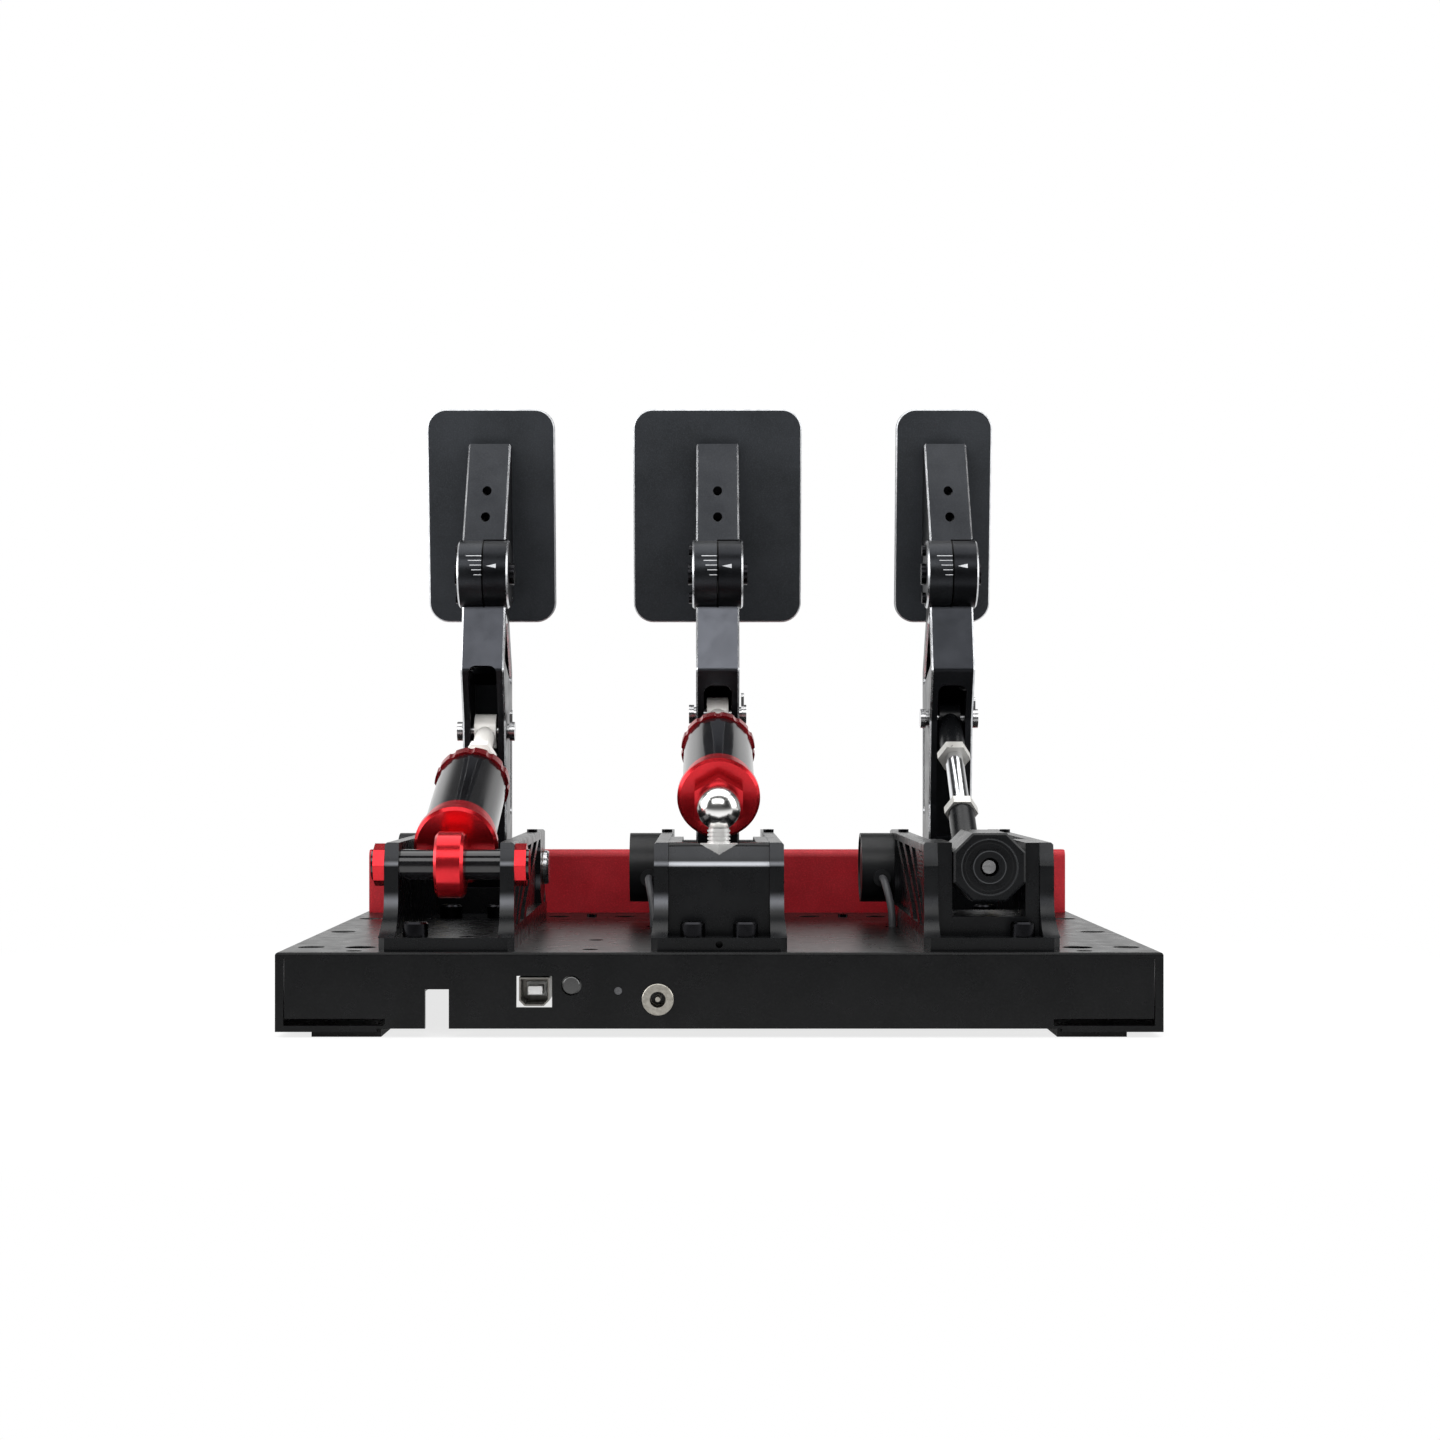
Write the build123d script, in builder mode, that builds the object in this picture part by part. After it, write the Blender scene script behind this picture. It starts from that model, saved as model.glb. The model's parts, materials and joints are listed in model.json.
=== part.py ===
from build123d import *
import os
from math import atan2, cos, degrees, hypot, radians, sin, tan

# Sim racing pedal set on a folded steel base: throttle, brake and clutch.
# Millimetres. +X is to the right seen from behind, +Y points to the driver, +Z is up.
# The origin is the centre of the base on the floor.

os.makedirs("parts", exist_ok=True)

# Clearances and overrun
fit = 0.05
slide_fit = 0.08
gap = 0.3
overrun = 1.0

# Base tray
base_width = 350.0
base_depth = 270.0
base_height = 33.5
sheet = 2.4
side_skirt_height = 31.3
front_skirt_height = 30.0
side_edge_width = 3.3
corner_gap = 0.4
lip_width = 40.0
relief_height = 4.0
bend_radius = 1.2
edge_hole_radius = 3.3
edge_sink_radius = 5.5
edge_row_inset = 10.0
edge_row_start = 28.0
edge_row_pitch = 88.0
corner_hole_radius = 6.2
corner_hole_inset = 30.0
corner_hole_setback = 27.0
small_hole_radius = 3.2
small_hole_setback = 8.5
spare_hole_offset = 51.5
spare_hole_setback = 16.0
spare_hole_pitch = 51.0
rear_hole_setback = 220.0
rear_hole_radius = 5.0
rear_hole_inner = 44.5
rear_hole_outer = 60.5
clinch_radius = 4.8
clinch_height = 4.0

# Cable notch and rear panel
notch_width = 9.4
notch_height = 15.0
notch_offset = 111.2
panel_usb_x = -72.9
panel_usb_drop = 15.5
usb_window_width = 14.1
usb_window_height = 12.5
usb_width = 12.0
usb_height = 11.2
usb_corner = 2.2
usb_wall = 0.6
usb_length = 16.5
usb_recess = 0.4
usb_tongue_width = 5.6
usb_tongue_height = 3.2
usb_tongue_length = 8.5
usb_back = 1.2
button_x = -58.3
button_drop = 13.0
button_hole_radius = 4.0
button_radius = 3.4
button_proud = 0.3
button_length = 7.2
button_travel = 1.2
led_x = -39.8
led_drop = 15.1
led_radius = 1.5
led_length = 6.0
jack_x = -24.2
jack_drop = 18.5
jack_ring_radius = 6.25
jack_ring_proud = 0.9
jack_barrel_radius = 4.6
jack_length = 13.0
jack_bore_radius = 3.15
jack_bore_depth = 10.0
jack_pin_radius = 1.0

# Feet
foot_width = 27.5
foot_length = 34.0
foot_wrap = 1.5
foot_inset = 2.8
foot_chamfer = 0.8

# Heel rest
heel_height = 31.0
heel_inset = 2.7
heel_depth = 19.0
heel_wall = 2.5
heel_radius = 3.5
heel_nose_drop = 9.0
heel_nose_run = 7.0

# Control board
board_width = 56.0
board_depth = 54.0
board_thickness = 1.6
board_centre_x = -57.0
board_setback = 9.0
board_post_radius = 2.6
board_post_inset = 5.0
header_width = 9.0
header_depth = 8.0
header_height = 5.0
header_pitch = 17.0
chip_width = 12.0
chip_height = 1.4
switch_width = 6.2

# Brackets
bracket_pitch = 108.3
bracket_setback = 6.0
bracket_length = 199.0
floor_width = 54.0
floor_thickness = 5.3
floor_corner = 2.5
plate_gap = 40.8
plate_thickness = 5.7
plate_top = 42.6
plate_flare = 0.9
plate_flare_height = 9.0
plate_bevel = 0.8
plate_face_setback = 18.0
plate_sweep_rise = 22.0
plate_slope_rise = 33.0
plate_crown_setback = 21.0
plate_crown_radius = 3.0
pocket_depth = 2.2
louvre_count = 7
louvre_pitch = 1.7
louvre_width = 0.8
louvre_depth = 1.1
louvre_run = 44.0
louvre_pocket_shares = [(0.09, 0.90), (0.37, 0.90), (0.09, 0.19)]
slot_pocket_shares = [(0.065, 0.10), (0.119, 0.10), (0.556, 0.90), (0.425, 0.90)]
rib_pocket_shares = [(0.175, 0.10), (0.288, 0.10), (0.729, 0.90), (0.616, 0.90)]
rear_pocket_shares = [(0.35, 0.10), (0.845, 0.10), (0.845, 0.90), (0.785, 0.90)]

# Bolts and screws
bolt_radius = 3.0
bolt_head_radius = 5.0
bolt_head_height = 6.0
bolt_clearance = 0.2
socket_width = 5.0
socket_depth = 3.0
bolt_setback = 13.0
bolt_side_offset = 12.8
brake_bolt_offset = 10.5
spare_thread_offset = 7.5
mid_bolt_setback = 128.0
mid_bolt_offset = 10.5
screw_radius = 1.5
screw_head_radius = 2.4
screw_head_height = 1.3
screw_length = 8.0
screw_socket_width = 2.0
screw_socket_depth = 0.8
plate_screw_setback = 160.0
heel_screw_offset = 60.5
heel_screw_setback = 220.0
floor_thread_radius = 1.4
stop_setback = 163.0
stop_length = 6.0
stop_rise = 17.0
stop_side_gap = 0.1

# Pedal pivot
pivot_setback = 193.0
pivot_rise = 25.0
axle_radius = 6.0
axle_cap_radius = 8.0
axle_cap_height = 2.5
bearing_radius = 8.0
bearing_flange_radius = 10.5
bearing_flange = 1.2
hub_radius = 13.0
hub_side_gap = 0.2

# Sensors and leads
sensor_radius = 16.2
sensor_length = 15.0
sensor_rim = 1.5
sensor_bore_depth = 8.0
sensor_recess = 0.8
grommet_radius = 4.0
grommet_length = 3.0
grommet_drop = 4.3
grommet_side = 5.8
lead_radius = 1.7
lead_hole_radius = 3.4
lead_bore_depth = 2.0
lead_side_gap = 0.45
lead_straight_share = 0.95
lead_over_share = 0.26
lead_under_share = 0.12
lead_end_share = 1.2
lead_arc_share = 0.45

# Arms
arm_width = 20.0
arm_edge = 0.8
arm_corner = 3.0
knuckle_setback = 177.0
knuckle_rise = 162.0
knuckle_radius = 16.0
knuckle_width = 23.4
knuckle_split = 0.2
knuckle_clear = 0.4
arm_foot_reach = 15.0
arm_waist_reach = 20.0
arm_bend_reach = 31.0
arm_back_reach = 19.0
arm_bend_drop = 45.0
arm_near_foot = pivot_setback - arm_foot_reach
arm_near_waist = pivot_setback - arm_waist_reach
arm_near_bend = pivot_setback - arm_bend_reach
arm_far = pivot_setback + arm_back_reach
arm_bend_rise = knuckle_rise - arm_bend_drop
arm_crown_turn = 70.0
arm_crown_reach = knuckle_radius - arm_corner
arm_crown_setback = knuckle_setback - arm_crown_reach * cos(radians(arm_crown_turn))
arm_crown_rise = knuckle_rise - arm_crown_reach * sin(radians(arm_crown_turn))
arm_waist_rise = 94.0
arm_foot_rise = 55.0
arm_toe_rise = 32.0
arm_shoulder_rise = 118.0
arm_neck_reach = 2.0
arm_neck_far = pivot_setback - arm_neck_reach
arm_neck_rise = 146.0
fork_width = 13.0
fork_far = 197.0
fork_low_rise = 40.0
throttle_fork_top_rise = 119.0
brake_fork_top_rise = 110.0
clutch_fork_top_rise = 110.0
fork_slope = 8.0
fork_round = 3.5
fork_mouth = 20.0
window_wall = 6.5
web_slot_width = 6.5
web_slot_low = 50.0
web_slot_high = 100.0
pin_setback = 185.0
throttle_pin_rise = 89.0
brake_pin_rise = 97.0
clutch_pin_rise = 95.0
pin_radius = 3.0
pin_head_radius = 4.5
pin_head_height = 3.4
pin_step = 1.0
clip_height = 8.0
clip_width = 4.0
clip_thickness = 1.3

# Pads and pad brackets
pad_top_setback = 207.0
pad_bottom_setback = 220.0
pad_top_rise = 243.0
pad_bottom_rise = 142.0
pad_thickness = 4.0
pad_corner = 9.5
pad_edge = 0.6
throttle_pad_width = 61.0
brake_pad_width = 80.5
clutch_pad_width = 45.8
bar_near_top = 203.0
bar_near_top_rise = 226.0
bar_near_low = 172.0
bar_near_low_rise = 177.0
bar_far_low_rise = 151.0
bar_under_setback = 196.0
bar_under_rise = 160.0
bar_hole_radius = 2.15
bar_hole_low_rise = 193.3
bar_hole_pitch = 11.8
pad_screw_radius = 2.0
pad_screw_head_radius = 4.0
pad_screw_length = 11.0
knuckle_pin_radius = 3.0
knuckle_head_radius = 5.0
knuckle_head_height = 2.0
clamp_screw_radius = 1.6
clamp_head_radius = 2.6
clamp_head_height = 1.6
clamp_offset = 11.0
clamp_depth = 6.0

# Throttle damper
cross_setback = 26.0
cross_rise = 33.5
cross_radius = 6.2
cross_nut_radius = 8.6
cross_nut_thickness = 4.6
cross_end = 1.0
eye_radius = 13.5
eye_width = 11.8
neck_radius = 6.2
throttle_cap_start = 19.4
throttle_tube_start = 33.0
throttle_tube_end = 92.0
throttle_rod_gap = 0.75

# Damper bodies
cap_radius = 17.3
cap_flange = 5.5
cap_bevel = 1.2
band_radius = 15.7
tube_radius = 15.2
tube_wall = 2.4
spigot_length = 5.0
ring_radius = 16.4
ring_length = 6.0
ring_notch_radius = 2.2
ring_notch_depth = 0.7
ring_notch_count = 12
rod_radius = 4.6
piston_length = 5.0
rod_nut_width = 13.0
rod_nut_length = 5.5
throttle_nut_place = 130.0
rod_eye_radius = 8.0
rod_eye_width = 10.0

# Brake block and ball stud
ball_setback = 42.0
ball_rise = 56.0
ball_radius = 9.0
stud_radius = 4.7
stud_groove = 0.5
stud_groove_pitch = 1.6
stud_shank_radius = 4.0
stud_nut_width = 15.4
stud_nut_height = 4.2
block_front = 19.0
block_length = 79.0
block_notch_width = 17.5
block_notch_drop = 5.0
block_side_gap = 0.1
recess_width = 30.0
recess_start = 26.0
recess_floor_rise = 37.3
block_wall = 6.0
block_cavity_rise = 29.0
boss_flats = 20.0
boss_start = 5.0
brake_cap_start = 13.4
brake_tube_start = 27.0
brake_tube_end = 86.0
brake_rod_gap = 0.35
cell_width = 13.0
cell_height = 12.7
cell_length = 70.0
cell_hole_radius = 4.5
cell_hole_length = 20.0
cell_boss_radius = 8.0

# Clutch mechanism
guide_rise = 32.9
frame_inner = 29.5
frame_side_gap = 0.1
frame_length = 45.0
frame_start = 19.0
frame_sill_rise = 12.9
housing_width = 28.8
housing_height = 27.4
housing_corner = 7.6
housing_start = 15.0
housing_length = 47.4
face_radius = 11.3
face_recess = 1.2
face_nut_flats = 13.2
guide_hole_radius = 3.8
shaft_radius = 2.7
shaft_front = 18.0
housing_bore_radius = 11.0
housing_wall = 4.0
plunger_radius = 10.6
plunger_length = 4.0
slider_setback = 100.6
slider_width = 20.0
slider_cheek = 3.6
slider_radius = 7.0
slider_back = 6.0
slider_slot_length = 28.6
slider_pin_radius = 2.5
slider_pin_gap = 0.75
slider_pin_head = 1.2
slider_pin_head_radius = 4.0
link_rod_radius = 4.2
link_end_radius = 5.8
link_eye_radius = 7.0
link_eye_width = 9.6
link_upper_end_length = 27.3
link_lower_end_length = 32.0
link_nut_width = 13.0
link_nut_length = 4.5

# Places worked out from the sizes
front_y = -base_depth / 2
back_y = base_depth / 2
half_width = base_width / 2
skirt_bottom = base_height - side_skirt_height
under_top = base_height - sheet
floor_top = base_height + floor_thickness
bracket_front = front_y + bracket_setback
bracket_back = bracket_front + bracket_length
plate_height = plate_top - floor_thickness
plate_inner = plate_gap / 2
plate_outer = plate_inner + plate_thickness
pivot_y = front_y + pivot_setback
pivot_z = base_height + pivot_rise
knuckle_y = front_y + knuckle_setback
knuckle_z = base_height + knuckle_rise
pin_y = front_y + pin_setback
guide_z = base_height + guide_rise
pedal_names = ["throttle", "brake", "clutch"]
pedal_x = [-bracket_pitch, 0.0, bracket_pitch]
pin_rises = [throttle_pin_rise, brake_pin_rise, clutch_pin_rise]
fork_top_rises = [throttle_fork_top_rise, brake_fork_top_rise, clutch_fork_top_rise]
pad_widths = [throttle_pad_width, brake_pad_width, clutch_pad_width]


def save(piece, node):
    """Label a finished piece and write its file."""
    piece.label = node
    export_step(piece, f"parts/{node}.step")


def side_plane(x):
    """A plane seen from the side: local x runs to the driver and local y up."""
    return Plane.YZ.offset(x)


def cross_plane(x, y, z, tilt, along=0.0):
    """A plane square to a line that leaves (y, z) at the tilt, some way along it."""
    start = (x, y + along * cos(tilt), z + along * sin(tilt))
    return Plane(origin=start, x_dir=(1, 0, 0), z_dir=(0, cos(tilt), sin(tilt)))


def place(setback, rise):
    """A side-view point from its distance to the front edge and its height over the base."""
    return (front_y + setback, base_height + rise)


def rim_edges(context, axis, bottom=True, top=True):
    """Edges that lie wholly on the two end faces along an axis."""
    faces = context.faces().sort_by(axis)
    chosen = ShapeList()
    if bottom:
        chosen += faces[0].edges()
    if top:
        chosen += faces[-1].edges()
    return chosen


# Base tray
bolt_places = [(pedal_x[0] - bolt_side_offset, bolt_setback)]
bolt_places += [(pedal_x[1] - brake_bolt_offset, bolt_setback)]
bolt_places += [(pedal_x[1] + brake_bolt_offset, bolt_setback)]
bolt_places += [(pedal_x[2] + bolt_side_offset, bolt_setback)]
for bracket_x in pedal_x:
    bolt_places += [(bracket_x - mid_bolt_offset, mid_bolt_setback)]
    bolt_places += [(bracket_x + mid_bolt_offset, mid_bolt_setback)]
bolt_points = [(x, front_y + setback) for x, setback in bolt_places]
edge_points = []
for side in (-1, 1):
    for step in range(3):
        edge_y = front_y + edge_row_start + step * edge_row_pitch
        edge_points.append((side * (half_width - edge_row_inset), edge_y))
lead_x_offset = -(floor_width / 2 + lead_radius + lead_side_gap)
lead_hole_setback = 149.0
lead_points = [(x + lead_x_offset, front_y + lead_hole_setback) for x in pedal_x]
heel_screw_points = [(side * heel_screw_offset, front_y + heel_screw_setback) for side in (-1, 1)]

with BuildPart() as base_tray:
    with BuildSketch(Plane.XY.offset(under_top)):
        Rectangle(base_width, base_depth)
    extrude(amount=sheet)
    with BuildSketch(Plane.XY.offset(skirt_bottom)):
        for side in (-1, 1):
            with Locations((side * (half_width - sheet / 2), 0)):
                Rectangle(sheet, base_depth)
    extrude(amount=side_skirt_height)
    with BuildSketch(Plane.XY.offset(base_height - front_skirt_height)):
        for side in (-1, 1):
            with Locations((0, side * (base_depth / 2 - sheet / 2))):
                Rectangle(base_width - 2 * side_edge_width, sheet)
    extrude(amount=front_skirt_height)
    with BuildSketch(Plane.XY.offset(skirt_bottom)):
        for side in (-1, 1):
            for end in (-1, 1):
                edge_x = side * (half_width - side_edge_width / 2)
                with Locations((edge_x, end * (base_depth / 2 - sheet / 2))):
                    Rectangle(side_edge_width, sheet)
    extrude(amount=side_skirt_height)
    with BuildSketch(Plane.XY.offset(skirt_bottom)):
        for side in (-1, 1):
            with Locations((side * (half_width - lip_width / 2), 0)):
                Rectangle(lip_width, base_depth)
    extrude(amount=sheet)
    with BuildSketch(Plane.XY.offset(under_top - clinch_height)):
        with Locations(*bolt_points):
            Circle(clinch_radius)
    extrude(amount=clinch_height)
    # Seams where the folded skirts meet, and the relief above each lip
    with BuildSketch(Plane.XY.offset(skirt_bottom + sheet)):
        for side in (-1, 1):
            with Locations((side * (half_width - side_edge_width - corner_gap / 2), 0)):
                Rectangle(corner_gap, base_depth + 2 * overrun)
    extrude(amount=under_top - skirt_bottom - sheet, mode=Mode.SUBTRACT)
    with BuildSketch(Plane.XY.offset(skirt_bottom + sheet)):
        for side in (-1, 1):
            with Locations((side * (half_width - side_edge_width - lip_width / 2), 0)):
                Rectangle(lip_width, base_depth + 2 * overrun)
    extrude(amount=relief_height - sheet / 2, mode=Mode.SUBTRACT)
    top_edges = base_tray.faces().sort_by(Axis.Z)[-1].outer_wire().edges()
    fillet(top_edges, bend_radius)
    # Holes in the top
    with Locations((0, 0, base_height)):
        with Locations(*edge_points):
            CounterSinkHole(edge_hole_radius, edge_sink_radius, depth=side_skirt_height + overrun)
        with Locations(*bolt_points):
            Hole(bolt_radius + bolt_clearance, depth=sheet + clinch_height + overrun)
        for side in (-1, 1):
            corner_x = side * (half_width - corner_hole_inset)
            with Locations((corner_x, front_y + corner_hole_setback)):
                Hole(corner_hole_radius, depth=sheet + overrun)
            with Locations((corner_x, front_y + small_hole_setback)):
                Hole(small_hole_radius, depth=sheet + overrun)
            with Locations((side * rear_hole_inner, front_y + rear_hole_setback)):
                Hole(rear_hole_radius, depth=sheet + overrun)
            outer_x = side * (2 * rear_hole_outer - rear_hole_inner)
            with Locations((outer_x, front_y + rear_hole_setback)):
                Hole(rear_hole_radius, depth=sheet + overrun)
        for step in range(2):
            with Locations((-spare_hole_offset, front_y + spare_hole_setback + step * spare_hole_pitch)):
                Hole(small_hole_radius, depth=sheet + overrun)
        with Locations(*heel_screw_points):
            Hole(screw_radius + bolt_clearance, depth=sheet + overrun)
        with Locations(*lead_points):
            Hole(lead_hole_radius, depth=sheet + overrun)
    # Windows in the front skirt
    with BuildSketch(Plane.XZ.offset(-front_y)):
        with Locations((-notch_offset, base_height - front_skirt_height + notch_height / 2)):
            Rectangle(notch_width, notch_height + overrun)
        with Locations((panel_usb_x, base_height - panel_usb_drop)):
            Rectangle(usb_window_width, usb_window_height)
        with Locations((button_x, base_height - button_drop)):
            Circle(button_hole_radius)
        with Locations((led_x, base_height - led_drop)):
            Circle(led_radius + slide_fit)
        with Locations((jack_x, base_height - jack_drop)):
            Circle(jack_barrel_radius + slide_fit)
    extrude(amount=-(sheet + overrun), mode=Mode.SUBTRACT)
save(base_tray.part, "base_tray")

# Rubber feet under the lips, wrapped round their inner edges
lip_edge = half_width - lip_width
foot_outer = lip_edge - foot_wrap + foot_width
with BuildPart() as rubber_feet:
    with BuildSketch(Plane.XY):
        for side in (-1, 1):
            for end in (-1, 1):
                foot_y = end * (base_depth / 2 - foot_inset - foot_length / 2)
                with Locations((side * (foot_outer - foot_width / 2), foot_y)):
                    Rectangle(foot_width, foot_length)
    extrude(amount=skirt_bottom)
    with BuildSketch(Plane.XY):
        for side in (-1, 1):
            for end in (-1, 1):
                foot_y = end * (base_depth / 2 - foot_inset - foot_length / 2)
                with Locations((side * (lip_edge - foot_wrap / 2), foot_y)):
                    Rectangle(foot_wrap, foot_length)
    extrude(amount=skirt_bottom + sheet)
    top_edges = rubber_feet.edges().filter_by(Axis.Y).group_by(Axis.Z)[-1]
    inner_edges = [edge for edge in top_edges if abs(edge.center().X) < lip_edge - foot_wrap / 2]
    chamfer(inner_edges, foot_chamfer)
save(rubber_feet.part, "rubber_feet")

# Heel rest: a bent channel that closes the driver's edge of the base
heel_y = back_y - heel_depth
with BuildPart() as heel_rest:
    with BuildSketch(side_plane(-half_width + heel_inset)):
        with BuildLine():
            FilletPolyline(
                (heel_y, base_height),
                (heel_y, base_height + heel_height),
                (back_y - heel_nose_run, base_height + heel_height),
                (back_y, base_height + heel_height - heel_nose_drop),
                (back_y, base_height),
                radius=heel_radius,
            )
            Line((back_y, base_height), (heel_y, base_height))
        make_face()
        with BuildLine():
            FilletPolyline(
                (heel_y + heel_wall, base_height - overrun),
                (heel_y + heel_wall, base_height + heel_height - heel_wall),
                (back_y - heel_nose_run - heel_wall / 2, base_height + heel_height - heel_wall),
                (back_y - heel_wall, base_height + heel_height - heel_nose_drop - heel_wall / 2),
                (back_y - heel_wall, base_height - overrun),
                radius=heel_radius - heel_wall + gap,
            )
            Line((back_y - heel_wall, base_height - overrun), (heel_y + heel_wall, base_height - overrun))
        make_face(mode=Mode.SUBTRACT)
    extrude(amount=base_width - 2 * heel_inset)
save(heel_rest.part, "heel_rest")

# Control board with its switch, its lead headers and the posts that hang it from the tray
board_top = base_height - panel_usb_drop + usb_height / 2 + board_thickness
board_bottom = board_top - board_thickness
board_y = front_y + board_setback + board_depth / 2
header_y = board_y + board_depth / 2 - header_depth / 2
header_xs = [board_centre_x + step * header_pitch for step in (-1, 0, 1)]
switch_front = front_y + button_length - button_proud + button_travel + gap
with BuildPart() as control_board:
    with BuildSketch(Plane.XY.offset(board_bottom)):
        with Locations((board_centre_x, board_y)):
            Rectangle(board_width, board_depth)
    extrude(amount=board_thickness)
    with BuildSketch(Plane.XY.offset(board_top)):
        for side in (-1, 1):
            for end in (-1, 1):
                post_x = board_centre_x + side * (board_width / 2 - board_post_inset)
                post_y = board_y + end * (board_depth / 2 - board_post_inset)
                with Locations((post_x, post_y)):
                    Circle(board_post_radius)
    extrude(amount=under_top - board_top)
    with BuildSketch(Plane.XY.offset(board_bottom - header_height)):
        for header_x in header_xs:
            with Locations((header_x, header_y)):
                Rectangle(header_width, header_depth)
    extrude(amount=header_height)
    with BuildSketch(Plane.XY.offset(board_bottom - chip_height)):
        with Locations((board_centre_x, board_y)):
            Rectangle(chip_width, chip_width)
    extrude(amount=chip_height)
    with BuildSketch(Plane.XY.offset(base_height - button_drop - switch_width / 2)):
        with Locations((button_x, switch_front + switch_width / 2)):
            Rectangle(switch_width, switch_width)
    extrude(amount=board_bottom + switch_width / 2 - base_height + button_drop)
save(control_board.part, "control_board")

# Square data socket: a folded shell with cut lower corners, and its white tongue
usb_z = base_height - panel_usb_drop
usb_front = front_y + usb_recess
with BuildPart() as usb_socket:
    with BuildSketch(Plane.XZ.offset(-usb_front)):
        with BuildLine():
            Polyline(
                (panel_usb_x - usb_width / 2, usb_z + usb_height / 2),
                (panel_usb_x + usb_width / 2, usb_z + usb_height / 2),
                (panel_usb_x + usb_width / 2, usb_z - usb_height / 2 + usb_corner),
                (panel_usb_x + usb_width / 2 - usb_corner, usb_z - usb_height / 2),
                (panel_usb_x - usb_width / 2 + usb_corner, usb_z - usb_height / 2),
                (panel_usb_x - usb_width / 2, usb_z - usb_height / 2 + usb_corner),
                close=True,
            )
        make_face()
    extrude(amount=-usb_length)
    openings = usb_socket.faces().sort_by(Axis.Y)[0]
    offset(amount=-usb_wall, openings=openings)
save(usb_socket.part, "usb_socket")

with BuildPart() as usb_tongue:
    with BuildSketch(Plane.XZ.offset(-(usb_front + usb_length - usb_wall))):
        with Locations((panel_usb_x, usb_z)):
            Rectangle(usb_tongue_width + 2 * usb_back, usb_tongue_height + 2 * usb_back)
    extrude(amount=usb_back)
    with BuildSketch(Plane.XZ.offset(-(usb_front + usb_length - usb_wall - usb_back))):
        with Locations((panel_usb_x, usb_z)):
            Rectangle(usb_tongue_width, usb_tongue_height)
    extrude(amount=usb_tongue_length)
save(usb_tongue.part, "usb_tongue")

# Push button that slides through the skirt onto the board's switch
with BuildPart() as reset_button:
    with BuildSketch(Plane.XZ.offset(-(front_y - button_proud))):
        with Locations((button_x, base_height - button_drop)):
            Circle(button_radius)
    extrude(amount=-button_length)
    chamfer(reset_button.faces().sort_by(Axis.Y)[0].edges(), button_proud)
    with BuildSketch(Plane.XZ.offset(-(front_y + sheet + button_travel + gap))):
        with Locations((button_x, base_height - button_drop)):
            Circle(button_hole_radius + gap)
    extrude(amount=-(button_travel + gap))
save(reset_button.part, "reset_button")

# Status light: a round lens through the skirt with a flange behind it
with BuildPart() as status_led:
    with BuildSketch(Plane.XZ.offset(-front_y)):
        with Locations((led_x, base_height - led_drop)):
            Circle(led_radius)
    extrude(amount=-led_length)
    with BuildSketch(Plane.XZ.offset(-(front_y + sheet))):
        with Locations((led_x, base_height - led_drop)):
            Circle(2 * led_radius)
    extrude(amount=-led_radius)
save(status_led.part, "status_led")

# Power jack: a ring on the skirt, a barrel through it and a centre pin in its bore
with BuildPart() as power_jack:
    with BuildSketch(Plane.XZ.offset(-(front_y - jack_ring_proud))):
        with Locations((jack_x, base_height - jack_drop)):
            Circle(jack_ring_radius)
    extrude(amount=-jack_ring_proud)
    chamfer(power_jack.faces().sort_by(Axis.Y)[0].edges(), jack_ring_proud / 3)
    with BuildSketch(Plane.XZ.offset(-front_y)):
        with Locations((jack_x, base_height - jack_drop)):
            Circle(jack_barrel_radius)
    extrude(amount=-jack_length)
    with BuildSketch(Plane.XZ.offset(-(front_y + sheet))):
        with Locations((jack_x, base_height - jack_drop)):
            Circle(jack_ring_radius)
    extrude(amount=-jack_ring_proud)
    with BuildSketch(Plane.XZ.offset(-(front_y - jack_ring_proud))):
        with Locations((jack_x, base_height - jack_drop)):
            Circle(jack_bore_radius)
            Circle(jack_pin_radius, mode=Mode.SUBTRACT)
    extrude(amount=-jack_bore_depth, mode=Mode.SUBTRACT)
    with BuildSketch(Plane.XZ.offset(-(front_y - jack_ring_proud))):
        with Locations((jack_x, base_height - jack_drop)):
            Circle(jack_pin_radius + overrun)
    extrude(amount=-sheet / 2, mode=Mode.SUBTRACT)
save(power_jack.part, "power_jack")


# Bracket floors
def bracket_floor(centre_x, bolt_offsets, spare_offsets, thread_offsets):
    with BuildPart() as floor:
        with BuildSketch(Plane.XY.offset(base_height)):
            with Locations((centre_x, (bracket_front + bracket_back) / 2)):
                Rectangle(floor_width, bracket_length)
            chamfer(vertices(), floor_corner)
        extrude(amount=floor_thickness)
        # Bar between the plates, in front of the arm's hub
        with BuildSketch(Plane.XY.offset(floor_top)):
            with Locations((centre_x, front_y + stop_setback)):
                Rectangle(plate_gap - 2 * stop_side_gap, stop_length)
        extrude(amount=stop_rise - floor_thickness)
        with Locations((0, 0, floor_top)):
            for bolt_offset in bolt_offsets:
                with Locations((centre_x + bolt_offset, front_y + bolt_setback)):
                    Hole(bolt_radius + bolt_clearance, depth=floor_thickness + overrun)
            for spare_offset in spare_offsets:
                with Locations((centre_x + spare_offset, front_y + bolt_setback)):
                    Hole(bolt_radius, depth=floor_thickness + overrun)
            for mid_offset in (-mid_bolt_offset, mid_bolt_offset):
                with Locations((centre_x + mid_offset, front_y + mid_bolt_setback)):
                    Hole(bolt_radius + bolt_clearance, depth=floor_thickness + overrun)
        for thread_offset in thread_offsets:
            with BuildSketch(Plane.XZ.offset(-bracket_front)):
                with Locations((centre_x + thread_offset, base_height + floor_thickness / 2)):
                    Circle(floor_thread_radius)
            extrude(amount=-bolt_setback / 2, mode=Mode.SUBTRACT)
    return floor.part


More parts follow.
